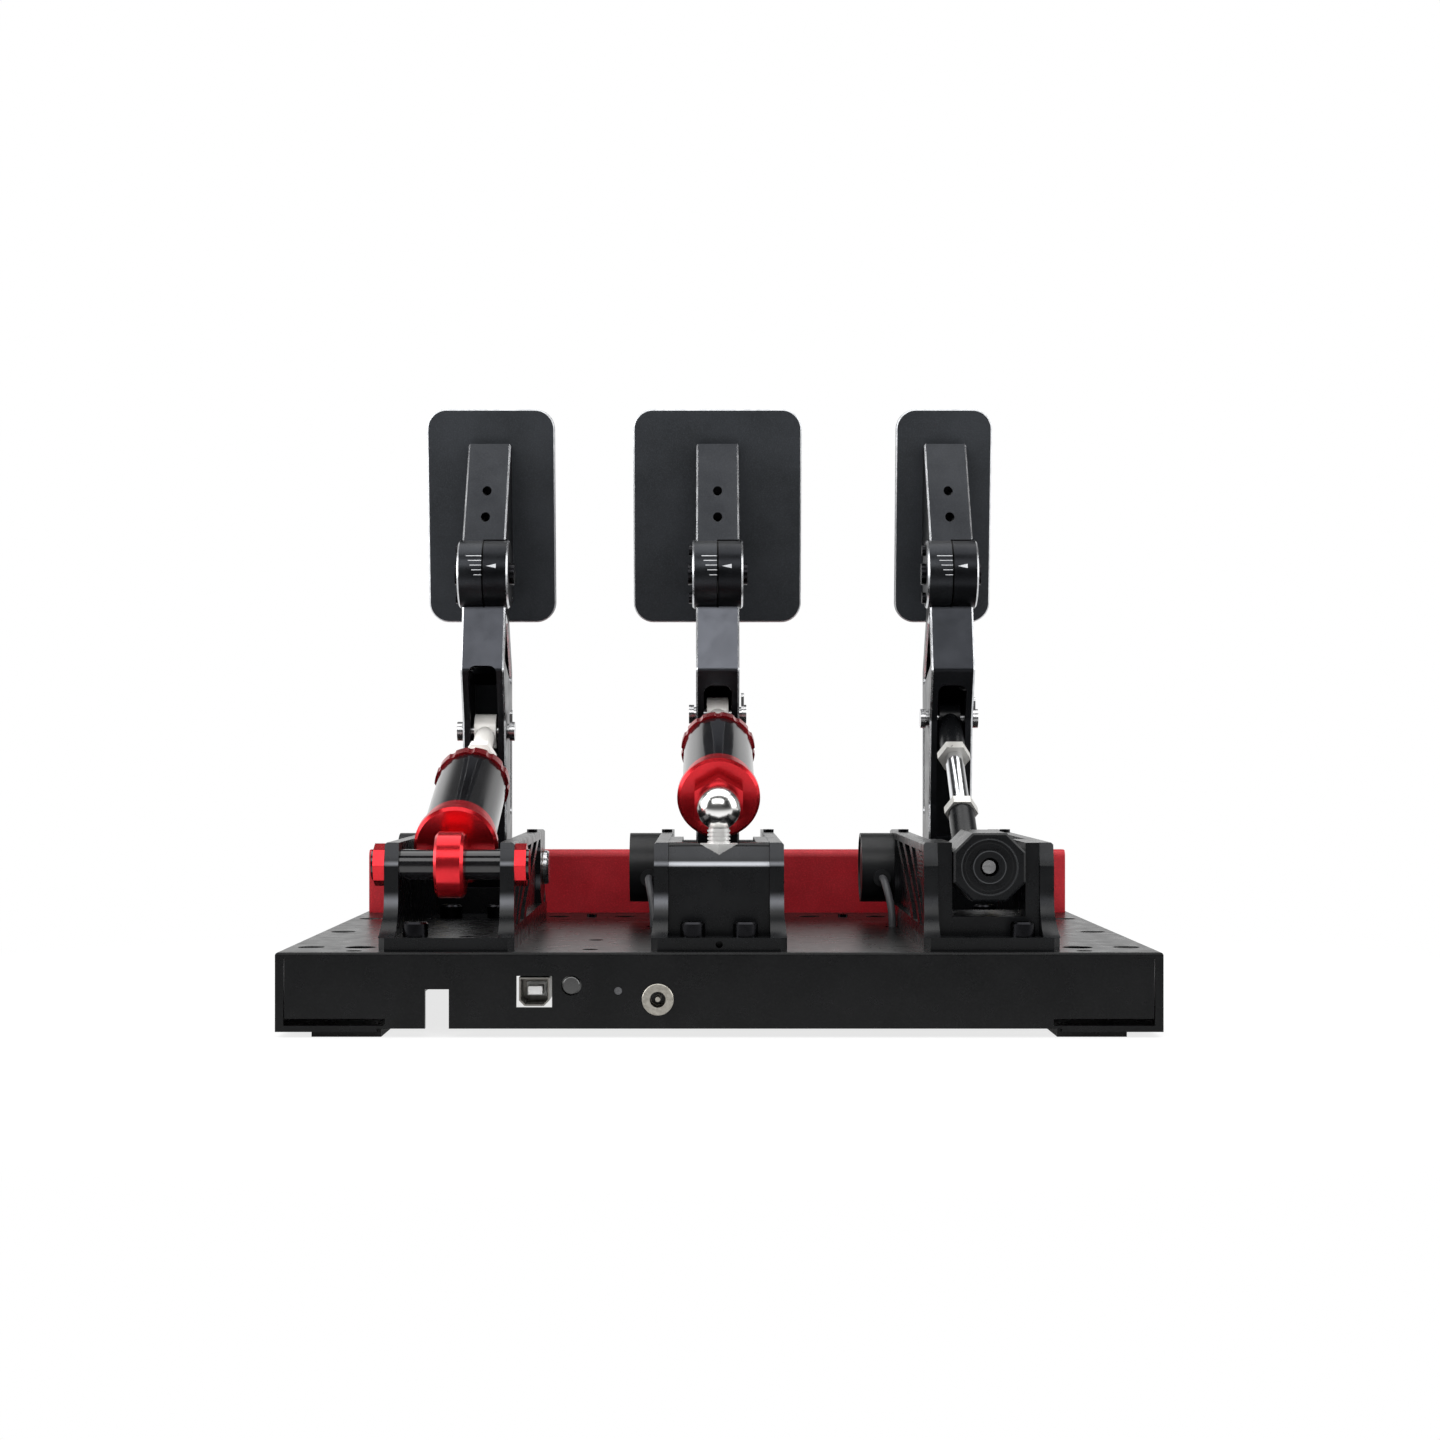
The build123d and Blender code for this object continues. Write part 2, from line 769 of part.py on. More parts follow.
save(bracket_floor(pedal_x[0], [-bolt_side_offset], [spare_thread_offset], []), "throttle_bracket_floor")
save(bracket_floor(pedal_x[1], [-brake_bolt_offset, brake_bolt_offset], [], [0.0]), "brake_bracket_floor")
save(bracket_floor(pedal_x[2], [bolt_side_offset], [-spare_thread_offset], []), "clutch_bracket_floor")


# Side plates: a pair for each bracket, with sloping pockets and fine louvres outside
def share_points(shares):
    """Side-view points from shares of the plate's length and height."""
    points = []
    for length_share, height_share in shares:
        point_y = bracket_front + length_share * bracket_length
        points.append((point_y, floor_top + height_share * plate_height))
    return points


# The plates' front ends sweep back from the floor's edge, rise straight and lean back at the top
sweep_run = plate_face_setback - bracket_setback
sweep_height = plate_sweep_rise - floor_thickness
sweep_radius = (sweep_run**2 + sweep_height**2) / (2 * sweep_run)
sweep_angle = atan2(sweep_height, sweep_radius - sweep_run) / 2
sweep_middle = place(
    plate_face_setback - sweep_radius + sweep_radius * cos(sweep_angle),
    plate_sweep_rise - sweep_radius * sin(sweep_angle),
)


def side_plates(centre_x, cross_hole):
    with BuildPart() as plates:
        for side in (-1, 1):
            inner = centre_x + side * plate_inner
            outer = centre_x + side * plate_outer
            flared = outer + side * plate_flare
            top = base_height + plate_top
            with BuildSketch(Plane.XZ.offset(-bracket_front)):
                with BuildLine():
                    Polyline(
                        (inner, floor_top),
                        (inner, top),
                        (outer - side * plate_bevel, top),
                        (outer, top - plate_bevel),
                        (outer, floor_top + plate_flare_height),
                        (flared, floor_top),
                        close=True,
                    )
                make_face()
            extrude(amount=-bracket_length)
            for shares in (louvre_pocket_shares, slot_pocket_shares, rib_pocket_shares, rear_pocket_shares):
                with BuildSketch(side_plane(flared + side * overrun)):
                    with BuildLine():
                        Polyline(*share_points(shares), close=True)
                    make_face()
                    if shares is louvre_pocket_shares:
                        louvre_top = top - (1 - shares[0][1]) * plate_height - louvre_pitch / 2
                        for step in range(louvre_count):
                            louvre_z = louvre_top - step * louvre_pitch
                            with Locations((bracket_front + louvre_run / 2, louvre_z)):
                                Rectangle(louvre_run, louvre_width, mode=Mode.SUBTRACT)
                depth = louvre_depth if shares is louvre_pocket_shares else pocket_depth
                cut = plate_flare + overrun + depth
                extrude(amount=-side * cut, mode=Mode.SUBTRACT)
            with BuildSketch(side_plane(inner - side * overrun)):
                with BuildLine():
                    sweep_low = place(bracket_setback, floor_thickness)
                    sweep_high = place(plate_face_setback, plate_sweep_rise)
                    ThreePointArc(sweep_low, sweep_middle, sweep_high)
                    FilletPolyline(
                        place(plate_face_setback, plate_sweep_rise),
                        place(plate_face_setback, plate_slope_rise),
                        place(plate_crown_setback, plate_top + overrun),
                        radius=plate_crown_radius,
                    )
                    Polyline(
                        place(plate_crown_setback, plate_top + overrun),
                        place(bracket_setback - overrun, plate_top + overrun),
                        place(bracket_setback - overrun, floor_thickness),
                        place(bracket_setback, floor_thickness),
                    )
                make_face()
            extrude(amount=side * (plate_thickness + plate_flare + 2 * overrun), mode=Mode.SUBTRACT)
            with BuildSketch(side_plane(outer)):
                with Locations((pivot_y, pivot_z)):
                    Circle(sensor_radius + gap)
            extrude(amount=side * (plate_flare + overrun), mode=Mode.SUBTRACT)
            with BuildSketch(side_plane(inner - side * overrun)):
                with Locations((pivot_y, pivot_z)):
                    Circle(bearing_radius + fit)
                if cross_hole:
                    with Locations(place(cross_setback, cross_rise)):
                        Circle(cross_radius + fit)
            extrude(amount=side * (plate_thickness + plate_flare + 2 * overrun), mode=Mode.SUBTRACT)
            screw_x = centre_x + side * (plate_inner + plate_outer) / 2
            with Locations((screw_x, front_y + plate_screw_setback, top)):
                Hole(screw_radius + fit, depth=screw_length + overrun)
    return plates.part


for name, centre in zip(pedal_names, pedal_x):
    save(side_plates(centre, name == "throttle"), f"{name}_side_plates")

# Bearings in the side plates
with BuildPart() as pivot_bearings:
    for centre in pedal_x:
        for side in (-1, 1):
            inner = centre + side * plate_inner
            with BuildSketch(side_plane(inner)):
                with Locations((pivot_y, pivot_z)):
                    Circle(bearing_radius)
                    Circle(axle_radius + fit, mode=Mode.SUBTRACT)
            extrude(amount=side * plate_thickness)
            with BuildSketch(side_plane(inner)):
                with Locations((pivot_y, pivot_z)):
                    Circle(bearing_flange_radius)
                    Circle(axle_radius + fit, mode=Mode.SUBTRACT)
            extrude(amount=-side * bearing_flange)
save(pivot_bearings.part, "pivot_bearings")

# Socket bolts that hold the brackets to the tray
with BuildPart() as bracket_bolts:
    with BuildSketch(Plane.XY.offset(floor_top)):
        with Locations(*bolt_points):
            Circle(bolt_head_radius)
    extrude(amount=bolt_head_height)
    chamfer(bracket_bolts.faces().group_by(Axis.Z)[-1].edges(), plate_bevel)
    with BuildSketch(Plane.XY.offset(under_top - clinch_height)):
        with Locations(*bolt_points):
            Circle(bolt_radius)
    extrude(amount=floor_top - under_top + clinch_height)
    with BuildSketch(Plane.XY.offset(floor_top + bolt_head_height)):
        with Locations(*bolt_points):
            RegularPolygon(socket_width / 2, 6, major_radius=False)
    extrude(amount=-socket_depth, mode=Mode.SUBTRACT)
save(bracket_bolts.part, "bracket_bolts")

# Small screws: one on top of each side plate, and two in front of the heel rest
top_screw_points = []
for centre in pedal_x:
    for side in (-1, 1):
        screw_x = centre + side * (plate_inner + plate_outer) / 2
        top_screw_points.append((screw_x, front_y + plate_screw_setback, base_height + plate_top))
low_screw_points = [(x, y, base_height) for x, y in heel_screw_points]
with BuildPart() as small_screws:
    for screw_point in top_screw_points + low_screw_points:
        with BuildSketch(Plane(origin=screw_point)):
            Circle(screw_head_radius)
        extrude(amount=screw_head_height)
        with BuildSketch(Plane(origin=screw_point)):
            Circle(screw_radius)
        extrude(amount=-screw_length)
        with BuildSketch(Plane(origin=screw_point).offset(screw_head_height)):
            RegularPolygon(screw_socket_width / 2, 6, major_radius=False)
        extrude(amount=-screw_socket_depth, mode=Mode.SUBTRACT)
save(small_screws.part, "small_screws")

# Pedal sensors: round housings on the outer side of each bracket, each over an axle's end
grommet_z = pivot_z - grommet_drop
with BuildPart() as pedal_sensors:
    for centre in pedal_x:
        face_x = centre - plate_outer
        with BuildSketch(side_plane(face_x)):
            with Locations((pivot_y, pivot_z)):
                Circle(sensor_radius)
        extrude(amount=-sensor_length)
        with BuildSketch(Plane.XZ.offset(-(pivot_y - sensor_radius - grommet_length))):
            with Locations((face_x - grommet_side, grommet_z)):
                Circle(grommet_radius)
        extrude(amount=-(sensor_radius / 2 + grommet_length))
        with BuildSketch(Plane.XZ.offset(-(pivot_y - sensor_radius - grommet_length))):
            with Locations((face_x - grommet_side, grommet_z)):
                Circle(lead_radius + fit)
        extrude(amount=-lead_bore_depth, mode=Mode.SUBTRACT)
        with BuildSketch(side_plane(face_x)):
            with Locations((pivot_y, pivot_z)):
                Circle(axle_radius + gap)
        extrude(amount=-sensor_bore_depth, mode=Mode.SUBTRACT)
        with BuildSketch(side_plane(face_x - sensor_length)):
            with Locations((pivot_y, pivot_z)):
                Circle(sensor_radius - sensor_rim)
        extrude(amount=sensor_recess, mode=Mode.SUBTRACT)
        with BuildSketch(side_plane(face_x)):
            with Locations((pivot_y, pivot_z)):
                Circle(bearing_radius + gap)
        extrude(amount=-bearing_flange, mode=Mode.SUBTRACT)
save(pedal_sensors.part, "pedal_sensors")


# Sensor leads: from each grommet down through the tray and along its underside to the board
def lead_route(face_x, middle, header_x):
    """Points of one lead, with the stretch under the tray chosen by hand."""
    grommet_x = face_x - grommet_side
    start_y = pivot_y - sensor_radius - grommet_length + lead_bore_depth
    hole_x = face_x + plate_outer + lead_x_offset
    header_face = board_y + board_depth / 2
    run_z = board_bottom - header_height / 2
    points = [
        (grommet_x, start_y, grommet_z),
        (grommet_x, start_y - lead_straight_share * sensor_radius, grommet_z),
        (hole_x, front_y + lead_hole_setback, base_height + lead_over_share * side_skirt_height),
        (hole_x, front_y + lead_hole_setback - lead_radius, run_z - lead_under_share * side_skirt_height),
    ]
    for along_x, along_y in middle:
        points.append((hole_x + (header_x - hole_x) * along_x, front_y + lead_hole_setback * along_y, run_z))
    points.append((header_x, header_face + lead_end_share * header_pitch, run_z))
    points.append((header_x, header_face, run_z))
    return points


def corner_radii(points):
    """The largest arc that each corner's two runs allow."""
    radii = []
    for before, corner, after in zip(points, points[1:], points[2:]):
        first = Vector(*corner) - Vector(*before)
        second = Vector(*after) - Vector(*corner)
        turn = radians(first.get_angle(second))
        radii.append(lead_arc_share * min(first.length, second.length) / tan(turn / 2))
    return radii


middle_shares = [
    [(0.12, 0.82), (0.54, 0.71)],
    [(0.05, 0.82), (0.65, 0.68)],
    [(0.06, 0.83), (0.36, 0.75), (0.72, 0.65)],
]
with BuildPart() as sensor_leads:
    for centre, middle, header_x in zip(pedal_x, middle_shares, header_xs):
        route = lead_route(centre - plate_outer, middle, header_x)
        radii = corner_radii(route)
        print("lead radii", [round(radius, 1) for radius in radii])
        with BuildLine() as lead_line:
            FilletPolyline(*route, radius=radii)
        with BuildSketch(Plane(origin=lead_line.line @ 0, z_dir=lead_line.line % 0)):
            Circle(lead_radius)
        sweep(path=lead_line.line)
        print("lead length", round(lead_line.wire().length, 1))
save(sensor_leads.part, "sensor_leads")


# Pedal arms: a fork for the damper's rod end, a hub on the axle and half of the knuckle
def half_disc(side, centre_x):
    """One half of the knuckle's disc, on its own side of the split."""
    with BuildPart() as half:
        with BuildSketch(side_plane(centre_x + side * knuckle_split / 2)):
            with Locations((knuckle_y, knuckle_z)):
                Circle(knuckle_radius)
        extrude(amount=side * (knuckle_width - knuckle_split) / 2)
        outer_face = half.faces().filter_by(Axis.X).sort_by(Axis.X)[-1 if side > 0 else 0]
        chamfer(outer_face.edges(), arm_edge)
    return half.part


def pedal_arm(centre_x, pin_rise, fork_top_rise):
    right_half = half_disc(1, centre_x)
    with BuildPart() as arm:
        with BuildSketch(side_plane(centre_x - arm_width / 2)):
            with BuildLine():
                FilletPolyline(
                    place(arm_near_foot, arm_toe_rise),
                    place(arm_near_foot, arm_foot_rise),
                    place(arm_near_waist, arm_waist_rise),
                    place(arm_near_bend, arm_bend_rise),
                    place(arm_crown_setback, arm_crown_rise),
                    place(arm_neck_far, knuckle_rise),
                    place(arm_neck_far, arm_neck_rise),
                    place(arm_far, arm_shoulder_rise),
                    place(arm_far, pivot_rise),
                    place(pivot_setback, pivot_rise),
                    radius=arm_corner,
                    close=True,
                )
            make_face()
        extrude(amount=arm_width)
        # Windows through the arm's sides
        with BuildSketch(side_plane(centre_x - arm_width / 2 - overrun)):
            with BuildLine():
                FilletPolyline(
                    place(arm_near_bend + window_wall, max(arm_bend_rise, fork_top_rise) + window_wall / 2),
                    place(arm_crown_setback + window_wall / 2, knuckle_rise - knuckle_radius - window_wall / 2),
                    place(arm_neck_far - window_wall, arm_neck_rise - window_wall),
                    place(arm_far - window_wall, arm_shoulder_rise - window_wall / 2),
                    place(arm_far - window_wall, arm_shoulder_rise - window_wall),
                    radius=arm_corner / 2,
                    close=True,
                )
            make_face()
            slot_high = min(web_slot_high, pin_rise)
            with Locations(place(arm_far - window_wall - web_slot_width / 4, (web_slot_low + slot_high) / 2)):
                SlotOverall(slot_high - web_slot_low, web_slot_width, rotation=90)
        extrude(amount=arm_width + 2 * overrun, mode=Mode.SUBTRACT)
        # Fork for the rod end, open to the front
        with BuildSketch(side_plane(centre_x - fork_width / 2)):
            with BuildLine():
                Polyline(
                    place(arm_near_bend - overrun, fork_low_rise),
                    place(fork_far, fork_low_rise),
                    place(fork_far, fork_top_rise - fork_slope),
                    place(pin_setback, fork_top_rise),
                    place(arm_near_bend + fork_mouth, fork_top_rise),
                    place(arm_near_bend + fork_mouth, fork_top_rise - fork_round),
                    place(arm_near_bend - overrun, fork_top_rise - fork_round),
                    close=True,
                )
            make_face()
        extrude(amount=fork_width, mode=Mode.SUBTRACT)
        # The fork's mouth has round upper corners
        with BuildSketch(Plane.XZ.offset(-(front_y + arm_near_bend - overrun))):
            with Locations((centre_x, base_height + fork_top_rise - 2 * fork_round)):
                RectangleRounded(fork_width, 4 * fork_round, fork_round)
        extrude(amount=-(fork_mouth + overrun), mode=Mode.SUBTRACT)
        chamfer(rim_edges(arm, Axis.X), arm_edge)
        with BuildSketch(side_plane(centre_x - plate_inner + bearing_flange + hub_side_gap)):
            with Locations((pivot_y, pivot_z)):
                Circle(hub_radius)
        extrude(amount=plate_gap - 2 * bearing_flange - 2 * hub_side_gap)
        # Room for the pad bracket's half of the knuckle, then this half
        with BuildSketch(side_plane(centre_x - arm_width / 2 - overrun)):
            with Locations((knuckle_y, knuckle_z)):
                Circle(knuckle_radius + knuckle_clear)
        extrude(amount=arm_width / 2 + overrun + knuckle_split / 2, mode=Mode.SUBTRACT)
        add(right_half)
        with BuildSketch(side_plane(centre_x - plate_outer)):
            with Locations((pivot_y, pivot_z)):
                Circle(axle_radius + fit)
        extrude(amount=2 * plate_outer, mode=Mode.SUBTRACT)
        with BuildSketch(side_plane(centre_x - plate_outer)):
            with Locations(place(pin_setback, pin_rise)):
                Circle(pin_radius + fit)
            with Locations((knuckle_y, knuckle_z)):
                Circle(knuckle_pin_radius + fit)
        extrude(amount=2 * plate_outer, mode=Mode.SUBTRACT)
    return arm.part


# Pad plane, from the points at its top and bottom
pad_top_point = place(pad_top_setback, pad_top_rise)
pad_low_point = place(pad_bottom_setback, pad_bottom_rise)
pad_run = pad_low_point[0] - pad_top_point[0]
pad_fall = pad_top_point[1] - pad_low_point[1]
pad_height = hypot(pad_run, pad_fall)
pad_lean = atan2(pad_run, pad_fall)
pad_centre = ((pad_top_point[0] + pad_low_point[0]) / 2, (pad_top_point[1] + pad_low_point[1]) / 2)
pad_normal = (0, cos(pad_lean), sin(pad_lean))


def pad_plane_y(rise):
    """Setback of the pad's rear face at a height over the base."""
    return pad_top_setback + (pad_top_rise - rise) * tan(pad_lean)


def pad_frame(centre_x, away=0.0):
    """A plane on the pad's rear face: local y runs up the pad, its normal to the driver."""
    start = (centre_x, pad_centre[0] + away * pad_normal[1], pad_centre[1] + away * pad_normal[2])
    return Plane(origin=start, x_dir=(-1, 0, 0), z_dir=pad_normal)


pad_middle_rise = (pad_top_rise + pad_bottom_rise) / 2
bar_hole_locals = []
for step in range(2):
    hole_rise = bar_hole_low_rise + step * bar_hole_pitch
    bar_hole_locals.append((hole_rise - pad_middle_rise) / cos(pad_lean))


def pad_bracket(centre_x):
    left_half = half_disc(-1, centre_x)
    with BuildPart() as bracket:
        with BuildSketch(side_plane(centre_x - arm_width / 2)):
            with BuildLine():
                Polyline(
                    place(bar_near_low, bar_near_low_rise),
                    place(bar_near_top, bar_near_top_rise),
                    place(pad_plane_y(bar_near_top_rise), bar_near_top_rise),
                    place(pad_plane_y(bar_far_low_rise), bar_far_low_rise),
                    place(bar_under_setback, bar_under_rise),
                    place(knuckle_setback, knuckle_rise),
                    close=True,
                )
            make_face()
        extrude(amount=arm_width)
        chamfer(rim_edges(bracket, Axis.X), arm_edge)
        with BuildSketch(side_plane(centre_x + arm_width / 2 + overrun)):
            with Locations((knuckle_y, knuckle_z)):
                Circle(knuckle_radius + knuckle_clear)
        extrude(amount=-(arm_width / 2 + overrun + knuckle_split / 2), mode=Mode.SUBTRACT)
        add(left_half)
        with BuildSketch(pad_frame(centre_x, overrun)):
            with Locations(*[(0, local) for local in bar_hole_locals]):
                Circle(bar_hole_radius)
        extrude(amount=-(pad_bottom_setback - arm_near_bend), mode=Mode.SUBTRACT)
        left_face = centre_x - knuckle_width / 2
        with BuildSketch(side_plane(left_face - overrun)):
            with Locations((knuckle_y, knuckle_z)):
                Circle(knuckle_pin_radius + fit)
        extrude(amount=knuckle_width, mode=Mode.SUBTRACT)
        with BuildSketch(side_plane(left_face)):
            for side in (-1, 1):
                with Locations((knuckle_y, knuckle_z + side * clamp_offset)):
                    Circle(clamp_screw_radius + fit)
        extrude(amount=clamp_depth + gap, mode=Mode.SUBTRACT)
    return bracket.part


def knuckle_screws(centre_x):
    left_face = centre_x - knuckle_width / 2
    right_face = centre_x + knuckle_width / 2
    with BuildPart() as screws:
        with BuildSketch(side_plane(left_face)):
            with Locations((knuckle_y, knuckle_z)):
                Circle(knuckle_pin_radius)
        extrude(amount=knuckle_width)
        for face_x, side in ((left_face, -1), (right_face + slide_fit, 1)):
            with BuildSketch(side_plane(face_x)):
                with Locations((knuckle_y, knuckle_z)):
                    Circle(knuckle_head_radius)
            extrude(amount=side * knuckle_head_height)
        with BuildSketch(side_plane(right_face)):
            with Locations((knuckle_y, knuckle_z)):
                Circle(knuckle_pin_radius)
        extrude(amount=knuckle_head_height / 2)
        with BuildSketch(side_plane(left_face)):
            for side in (-1, 1):
                with Locations((knuckle_y, knuckle_z + side * clamp_offset)):
                    Circle(clamp_screw_radius)
        extrude(amount=clamp_depth)
        with BuildSketch(side_plane(left_face)):
            for side in (-1, 1):
                with Locations((knuckle_y, knuckle_z + side * clamp_offset)):
                    Circle(clamp_head_radius)
        extrude(amount=-clamp_head_height)
    return screws.part


def pedal_pad(centre_x, pad_width):
    with BuildPart() as pad:
        with BuildSketch(pad_frame(centre_x)):
            RectangleRounded(pad_width, pad_height, pad_corner)
        extrude(amount=pad_thickness)
        faces = pad.faces().filter_by(Plane(origin=(0, 0, 0), z_dir=pad_normal))
        chamfer(faces.edges(), pad_edge)
        with Locations(pad_frame(centre_x, pad_thickness)):
            with Locations(*[(0, local) for local in bar_hole_locals]):
                CounterSinkHole(pad_screw_radius + bolt_clearance, pad_screw_head_radius + gap)
    return pad.part


def pad_screws(centre_x):
    """The knuckle's pin and clamp screws, and the pad's two countersunk screws."""
    sink_depth = pad_screw_head_radius - pad_screw_radius
    knuckle_group = knuckle_screws(centre_x)
    with BuildPart() as screws:
        add(knuckle_group)
        for local in bar_hole_locals:
            with BuildSketch(pad_frame(centre_x, pad_thickness - gap)):
                with Locations((0, local)):
                    Circle(pad_screw_radius)
            extrude(amount=-pad_screw_length)
            with BuildSketch(pad_frame(centre_x, pad_thickness - gap)):
                with Locations((0, local)):
                    Circle(pad_screw_head_radius - gap)
            extrude(amount=-sink_depth, taper=45)
    return screws.part


def pedal_axle(centre_x):
    left_end = centre_x - plate_outer - sensor_bore_depth + gap
    right_end = centre_x + plate_outer
    with BuildPart() as axle:
        with BuildSketch(side_plane(left_end)):
            with Locations((pivot_y, pivot_z)):
                Circle(axle_radius)
        extrude(amount=right_end - left_end)
        with BuildSketch(side_plane(right_end + gap)):
            with Locations((pivot_y, pivot_z)):
                Circle(axle_cap_radius)
        extrude(amount=axle_cap_height)
        chamfer(axle.faces().sort_by(Axis.X)[-1].edges(), plate_bevel)
        with BuildSketch(side_plane(right_end)):
            with Locations((pivot_y, pivot_z)):
                Circle(axle_radius)
        extrude(amount=gap)
    return axle.part


def arm_pin(centre_x, pin_rise):
    half = arm_width / 2
    with BuildPart() as pin:
        with BuildSketch(side_plane(centre_x - half)):
            with Locations(place(pin_setback, pin_rise)):
                Circle(pin_radius)
        extrude(amount=arm_width)
        for side in (-1, 1):
            with BuildSketch(side_plane(centre_x + side * half)):
                with Locations(place(pin_setback, pin_rise)):
                    Circle(pin_head_radius - pin_step)
            extrude(amount=side * pin_step)
            with BuildSketch(side_plane(centre_x + side * (half + pin_step))):
                with Locations(place(pin_setback, pin_rise)):
                    Circle(pin_head_radius)
            extrude(amount=side * (pin_head_height - pin_step))
        with BuildSketch(side_plane(centre_x + half + pin_step)):
            with Locations(place(pin_setback, pin_rise + clip_height / 2)):
                SlotOverall(clip_height + clip_width, clip_width, rotation=90)
        extrude(amount=clip_thickness)
    return pin.part


for name, centre, rise, fork_rise, width in zip(pedal_names, pedal_x, pin_rises, fork_top_rises, pad_widths):
    save(pedal_arm(centre, rise, fork_rise), f"{name}_arm")
    save(pad_bracket(centre), f"{name}_pad_bracket")
    save(pedal_pad(centre, width), f"{name}_pad")
    save(pad_screws(centre), f"{name}_pad_screws")
    save(pedal_axle(centre), f"{name}_axle")
    save(arm_pin(centre, rise), f"{name}_arm_pin")


# Damper pieces, all along one tilted line that starts at the lower joint
def damper_tube(plane_at, start, end):
    with BuildPart() as tube:
        with BuildSketch(plane_at(start)):
            Circle(tube_radius)
            Circle(tube_radius - tube_wall, mode=Mode.SUBTRACT)
        extrude(amount=end - start)
    return tube.part


def damper_ring(plane_at, start):
    notch_circle = ring_radius + ring_notch_radius - ring_notch_depth
    with BuildPart() as ring:
        with BuildSketch(plane_at(start)):
            Circle(ring_radius)
            with PolarLocations(notch_circle, ring_notch_count):
                Circle(ring_notch_radius, mode=Mode.SUBTRACT)
        extrude(amount=ring_length)
        with BuildSketch(plane_at(start - spigot_length)):
            Circle(tube_radius - tube_wall - fit)
        extrude(amount=spigot_length)
        with BuildSketch(plane_at(start - spigot_length)):
            Circle(rod_radius + slide_fit)
        extrude(amount=ring_length + spigot_length, mode=Mode.SUBTRACT)
    return ring.part


def cap_body(plane_at, cap_start, tube_start):
    """Flange, band and the spigot inside the tube."""
    with BuildPart() as body:
        with BuildSketch(plane_at(cap_start)):
            Circle(cap_radius)
        extrude(amount=cap_flange)
        chamfer(body.edges().filter_by(GeomType.CIRCLE), cap_bevel)
        with BuildSketch(plane_at(cap_start + cap_flange / 2)):
            Circle(band_radius)
        extrude(amount=tube_start - cap_start - cap_flange / 2)
        with BuildSketch(plane_at(tube_start)):
            Circle(tube_radius - tube_wall - fit)
        extrude(amount=spigot_length)
    return body.part


def damper_rod(plane_at, centre_x, pin_rise, length, piston_at, bore_gap):
    """Rod with its piston inside the tube, and a flat eye round the arm's pin."""
    with BuildPart() as rod:
        with BuildSketch(plane_at(piston_at)):
            Circle(tube_radius - tube_wall - gap)
        extrude(amount=piston_length)
        with BuildSketch(plane_at(piston_at)):
            Circle(rod_radius)
        extrude(amount=length - rod_eye_radius / 2 - piston_at)
        with BuildSketch(side_plane(centre_x - rod_eye_width / 2)):
            with Locations(place(pin_setback, pin_rise)):
                Circle(rod_eye_radius)
        extrude(amount=rod_eye_width)
        with BuildSketch(side_plane(centre_x - rod_eye_width / 2 - overrun)):
            with Locations(place(pin_setback, pin_rise)):
                Circle(pin_radius + bore_gap)
        extrude(amount=rod_eye_width + 2 * overrun, mode=Mode.SUBTRACT)
    return rod.part


# Throttle damper
throttle_x = pedal_x[0]
throttle_length = hypot(pin_setback - cross_setback, throttle_pin_rise - cross_rise)
throttle_tilt = atan2(throttle_pin_rise - cross_rise, pin_setback - cross_setback)
cross_y = front_y + cross_setback
cross_z = base_height + cross_rise


def throttle_plane(along):
    return cross_plane(throttle_x, cross_y, cross_z, throttle_tilt, along)


with BuildPart() as throttle_cross_pin:
    with BuildSketch(side_plane(throttle_x - plate_outer - cross_nut_thickness - cross_end)):
        with Locations((cross_y, cross_z)):
            Circle(cross_radius)
    extrude(amount=2 * (plate_outer + cross_nut_thickness + cross_end))
save(throttle_cross_pin.part, "throttle_cross_pin")

with BuildPart() as throttle_pin_nuts:
    for side in (-1, 1):
        with BuildSketch(side_plane(throttle_x + side * plate_outer)):
            with Locations((cross_y, cross_z)):
                RegularPolygon(cross_nut_radius, 8)
                Circle(cross_radius + fit, mode=Mode.SUBTRACT)
        extrude(amount=side * cross_nut_thickness)
save(throttle_pin_nuts.part, "throttle_pin_nuts")

throttle_cap_body = cap_body(throttle_plane, throttle_cap_start, throttle_tube_start)
with BuildPart() as throttle_damper_cap:
    with BuildSketch(side_plane(throttle_x - eye_width / 2)):
        with Locations((cross_y, cross_z)):
            Circle(eye_radius)
    extrude(amount=eye_width)
    chamfer(rim_edges(throttle_damper_cap, Axis.X), cap_bevel)
    with BuildSketch(throttle_plane(0)):
        Circle(neck_radius)
    extrude(amount=throttle_cap_start + cap_bevel)
    add(throttle_cap_body)
    with BuildSketch(side_plane(throttle_x - eye_width)):
        with Locations((cross_y, cross_z)):
            Circle(cross_radius + fit)
    extrude(amount=2 * eye_width, mode=Mode.SUBTRACT)
save(throttle_damper_cap.part, "throttle_damper_cap")
save(damper_tube(throttle_plane, throttle_tube_start, throttle_tube_end), "throttle_damper_tube")
save(damper_ring(throttle_plane, throttle_tube_end), "throttle_damper_ring")

throttle_piston_place = throttle_tube_end - spigot_length - piston_length - gap
throttle_rod = damper_rod(
    throttle_plane, throttle_x, throttle_pin_rise, throttle_length, throttle_piston_place, throttle_rod_gap
)
with BuildPart() as throttle_damper_rod:
    add(throttle_rod)
    # The lock nut stays a solid of its own
    with BuildSketch(throttle_plane(throttle_nut_place)):
        RegularPolygon(rod_nut_width / 2, 6, major_radius=False)
        Circle(rod_radius + fit, mode=Mode.SUBTRACT)
    extrude(amount=rod_nut_length)
save(throttle_damper_rod.part, "throttle_damper_rod")

